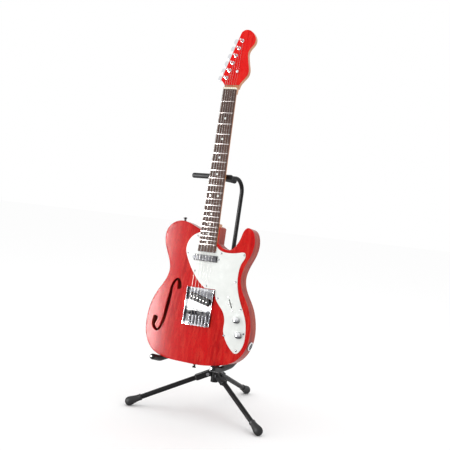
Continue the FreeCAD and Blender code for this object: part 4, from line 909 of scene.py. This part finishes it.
# ---------------------------------------------------------------- side dots and switch
DOT_FRETS = (3, 5, 7, 9, 12, 15, 17, 19, 21)
SCALE_LENGTH = 648.0
OCTAVE_FRET = 12
OCTAVE_DOT_SHIFT = 3.5
SIDE_DOT_HEIGHT = 6.2
NUT_WIDTH = 42.0
BOARD_WIDTH_AT_SCALE = 51.5
SIDE_DOT_PROFILE = [(0.0, 0.08), (0.9, 0.08), (1.0, 0.0), (1.0, -1.0), (0.0, -1.0)]


def fret_line(number):
    return SCALE_LENGTH * (1 - 2 ** (-number / OCTAVE_FRET))


def board_half_width(distance):
    return NUT_WIDTH / 2 + (BOARD_WIDTH_AT_SCALE - NUT_WIDTH) / SCALE_LENGTH * distance


def build_side_dots(builder):
    for fret in DOT_FRETS:
        middle_line = (fret_line(fret - 1) + fret_line(fret)) / 2
        for shift in ((-OCTAVE_DOT_SHIFT, OCTAVE_DOT_SHIFT) if fret == OCTAVE_FRET else (0,)):
            distance = middle_line + shift
            spot = on_face(-board_half_width(distance), distance, SIDE_DOT_HEIGHT)
            ring_mesh(builder, turned_rings(SIDE_DOT_PROFILE,
                                            axes_matrix(spot, up_neck, -to_treble), 20))


new_piece("side_dots", build_side_dots, "guitar", dot_pearl)

switch_axis = Vector(joints["switch_tilt"]["axis"]).normalized()
switch_pivot = Vector(joints["switch_tilt"]["pos_m"])
switch_along = face_out.cross(switch_axis).normalized()
LEVER_HALF = (0.8, 2.5)
LEVER_LOW = -2.5
LEVER_HIGH = 25.5
TIP_PROFILE = [(0.0, 30.5), (1.4, 30.3), (2.6, 29.5), (3.1, 28.2), (3.0, 26.4), (2.6, 24.8),
               (2.2, 24.0), (0.0, 24.0)]
lever_place = axes_matrix(switch_pivot, switch_axis, face_out)


def build_blade(builder):
    rings = []
    for height, shrink in ((LEVER_LOW, 0.7), (LEVER_LOW + 0.4, 1.0), (LEVER_HIGH, 1.0)):
        half_x = LEVER_HALF[0] * shrink
        half_y = LEVER_HALF[1] * shrink
        rings.append([lever_place @ (Vector((x * half_x, y * half_y, height)) * MM)
                      for x, y in ((-1, -1), (1, -1), (1, 1), (-1, 1))])
    ring_mesh(builder, rings)


blade = new_piece("switch_blade", build_blade, "switch_lever", polished, False)
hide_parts("switch_lever")
new_piece("switch_tip", turned_builder(TIP_PROFILE, [lever_place], 36), "switch_lever",
          chrome)
SWITCH_SCREW_REACH = 20.5
GUARD_TOP = 2.32


def build_switch_screws(builder):
    head = cross_headed(2.5, 1.1, 0.6)
    for side in (-1, 1):
        spot = switch_pivot + switch_along * side * SWITCH_SCREW_REACH * MM
        spot += face_out * (GUARD_TOP * MM - (spot - nut_point).dot(face_out))
        copy = head.copy()
        copy.transform(axes_matrix(spot, to_treble, face_out))
        builder.from_mesh(copy)


new_piece("switch_screws", build_switch_screws, "guitar", polished, False)

# ---------------------------------------------------------------- floor, light and camera
FLOOR_HALF = 9.0
floor_mesh = bpy.data.meshes.new("floor")
floor_mesh.from_pydata([(-FLOOR_HALF, -FLOOR_HALF, 0), (FLOOR_HALF, -FLOOR_HALF, 0),
                        (FLOOR_HALF, FLOOR_HALF, 0), (-FLOOR_HALF, FLOOR_HALF, 0)],
                       [], [(0, 1, 2, 3)])
floor = bpy.data.objects.new("floor", floor_mesh)
bpy.context.scene.collection.objects.link(floor)
floor_mesh.materials.append(Shader("floor_white", (0.98, 0.98, 0.98), 0.9,
                                   Specular_IOR_Level=0.0).material)

world = bpy.data.worlds.new("studio")
bpy.context.scene.world = world
world.use_nodes = True
background = world.node_tree.nodes["Background"]
background.inputs["Color"].default_value = (1.0, 1.0, 1.0, 1)
background.inputs["Strength"].default_value = 1.0


def soft_light(name, place, target, size, power):
    """A rectangular lamp, its size in metres and its power in watts, that faces a target."""
    light = bpy.data.lights.new(name, "AREA")
    light.shape = "RECTANGLE"
    light.size, light.size_y = size
    light.energy = power
    lamp = bpy.data.objects.new(name, light)
    bpy.context.scene.collection.objects.link(lamp)
    lamp.matrix_world = axes_matrix(place, Vector((1, 0.2, 0)), place - target)
    return lamp


AIM = Vector((0.0, -0.05, 0.55))
SOFT_LIGHTS = [
    ("key_left", (-2.2, -1.6, 1.9), (1.2, 1.6), 3),
    ("fill_right", (2.4, -1.8, 1.3), (1.0, 1.4), 1.5),
    ("top", (0.2, 0.2, 3.2), (2.2, 2.2), 8),
]
for name, place, size, power in SOFT_LIGHTS:
    soft_light(name, Vector(place), AIM, size, power)

# the camera, fitted to the photo: azimuth, height above the horizon, roll, distance and lens
AZIMUTH = math.radians(25.882)
ELEVATION = math.radians(3.156)
ROLL = math.radians(5.004)
DISTANCE = 2.3079
SENSOR = 36.0                        # millimetres
LENS = 65.1424
AIM_ACROSS = -0.05903
AIM_UP = -0.07282
AIM_HEIGHT = 0.5
FIT_LENGTH = 796.0                   # millimetres from the nut to the point the fit aims from
looking = Vector((-math.sin(AZIMUTH) * math.cos(ELEVATION),
                  math.cos(AZIMUTH) * math.cos(ELEVATION), -math.sin(ELEVATION)))
flat_right = Vector((math.cos(AZIMUTH), math.sin(AZIMUTH), 0))
flat_up = flat_right.cross(looking)
right = flat_right * math.cos(ROLL) + flat_up * math.sin(ROLL)
up = flat_up * math.cos(ROLL) - flat_right * math.sin(ROLL)
bottom_middle = on_face(0, FIT_LENGTH, -HALF_THICK / MM)
target = Vector((bottom_middle.x, bottom_middle.y, AIM_HEIGHT))
camera_data = bpy.data.cameras.new("camera")
camera_data.lens = LENS
camera_data.sensor_width = SENSOR
camera = bpy.data.objects.new("camera", camera_data)
bpy.context.scene.collection.objects.link(camera)
camera_place = target - right * AIM_ACROSS - up * AIM_UP - looking * DISTANCE
camera_axes = Matrix((right, up, -looking)).transposed().to_4x4()
camera_axes.translation = camera_place
camera.matrix_world = camera_axes
bpy.context.scene.camera = camera
bpy.context.scene.view_settings.view_transform = "Standard"

# a long panel on the bass side whose soft reflection lies along the body's bass edge
SHEEN_SPOT = on_face(-240, 560, 0)
SHEEN_DISTANCE = 1.5
SHEEN_SIZE = (0.30, 1.3)
SHEEN_POWER = 95
view_line = (SHEEN_SPOT - camera_place).normalized()
mirrored = view_line - face_out * 2 * view_line.dot(face_out)
sheen = soft_light("sheen", SHEEN_SPOT + mirrored * SHEEN_DISTANCE, SHEEN_SPOT, SHEEN_SIZE,
                   SHEEN_POWER)
sheen.visible_diffuse = False
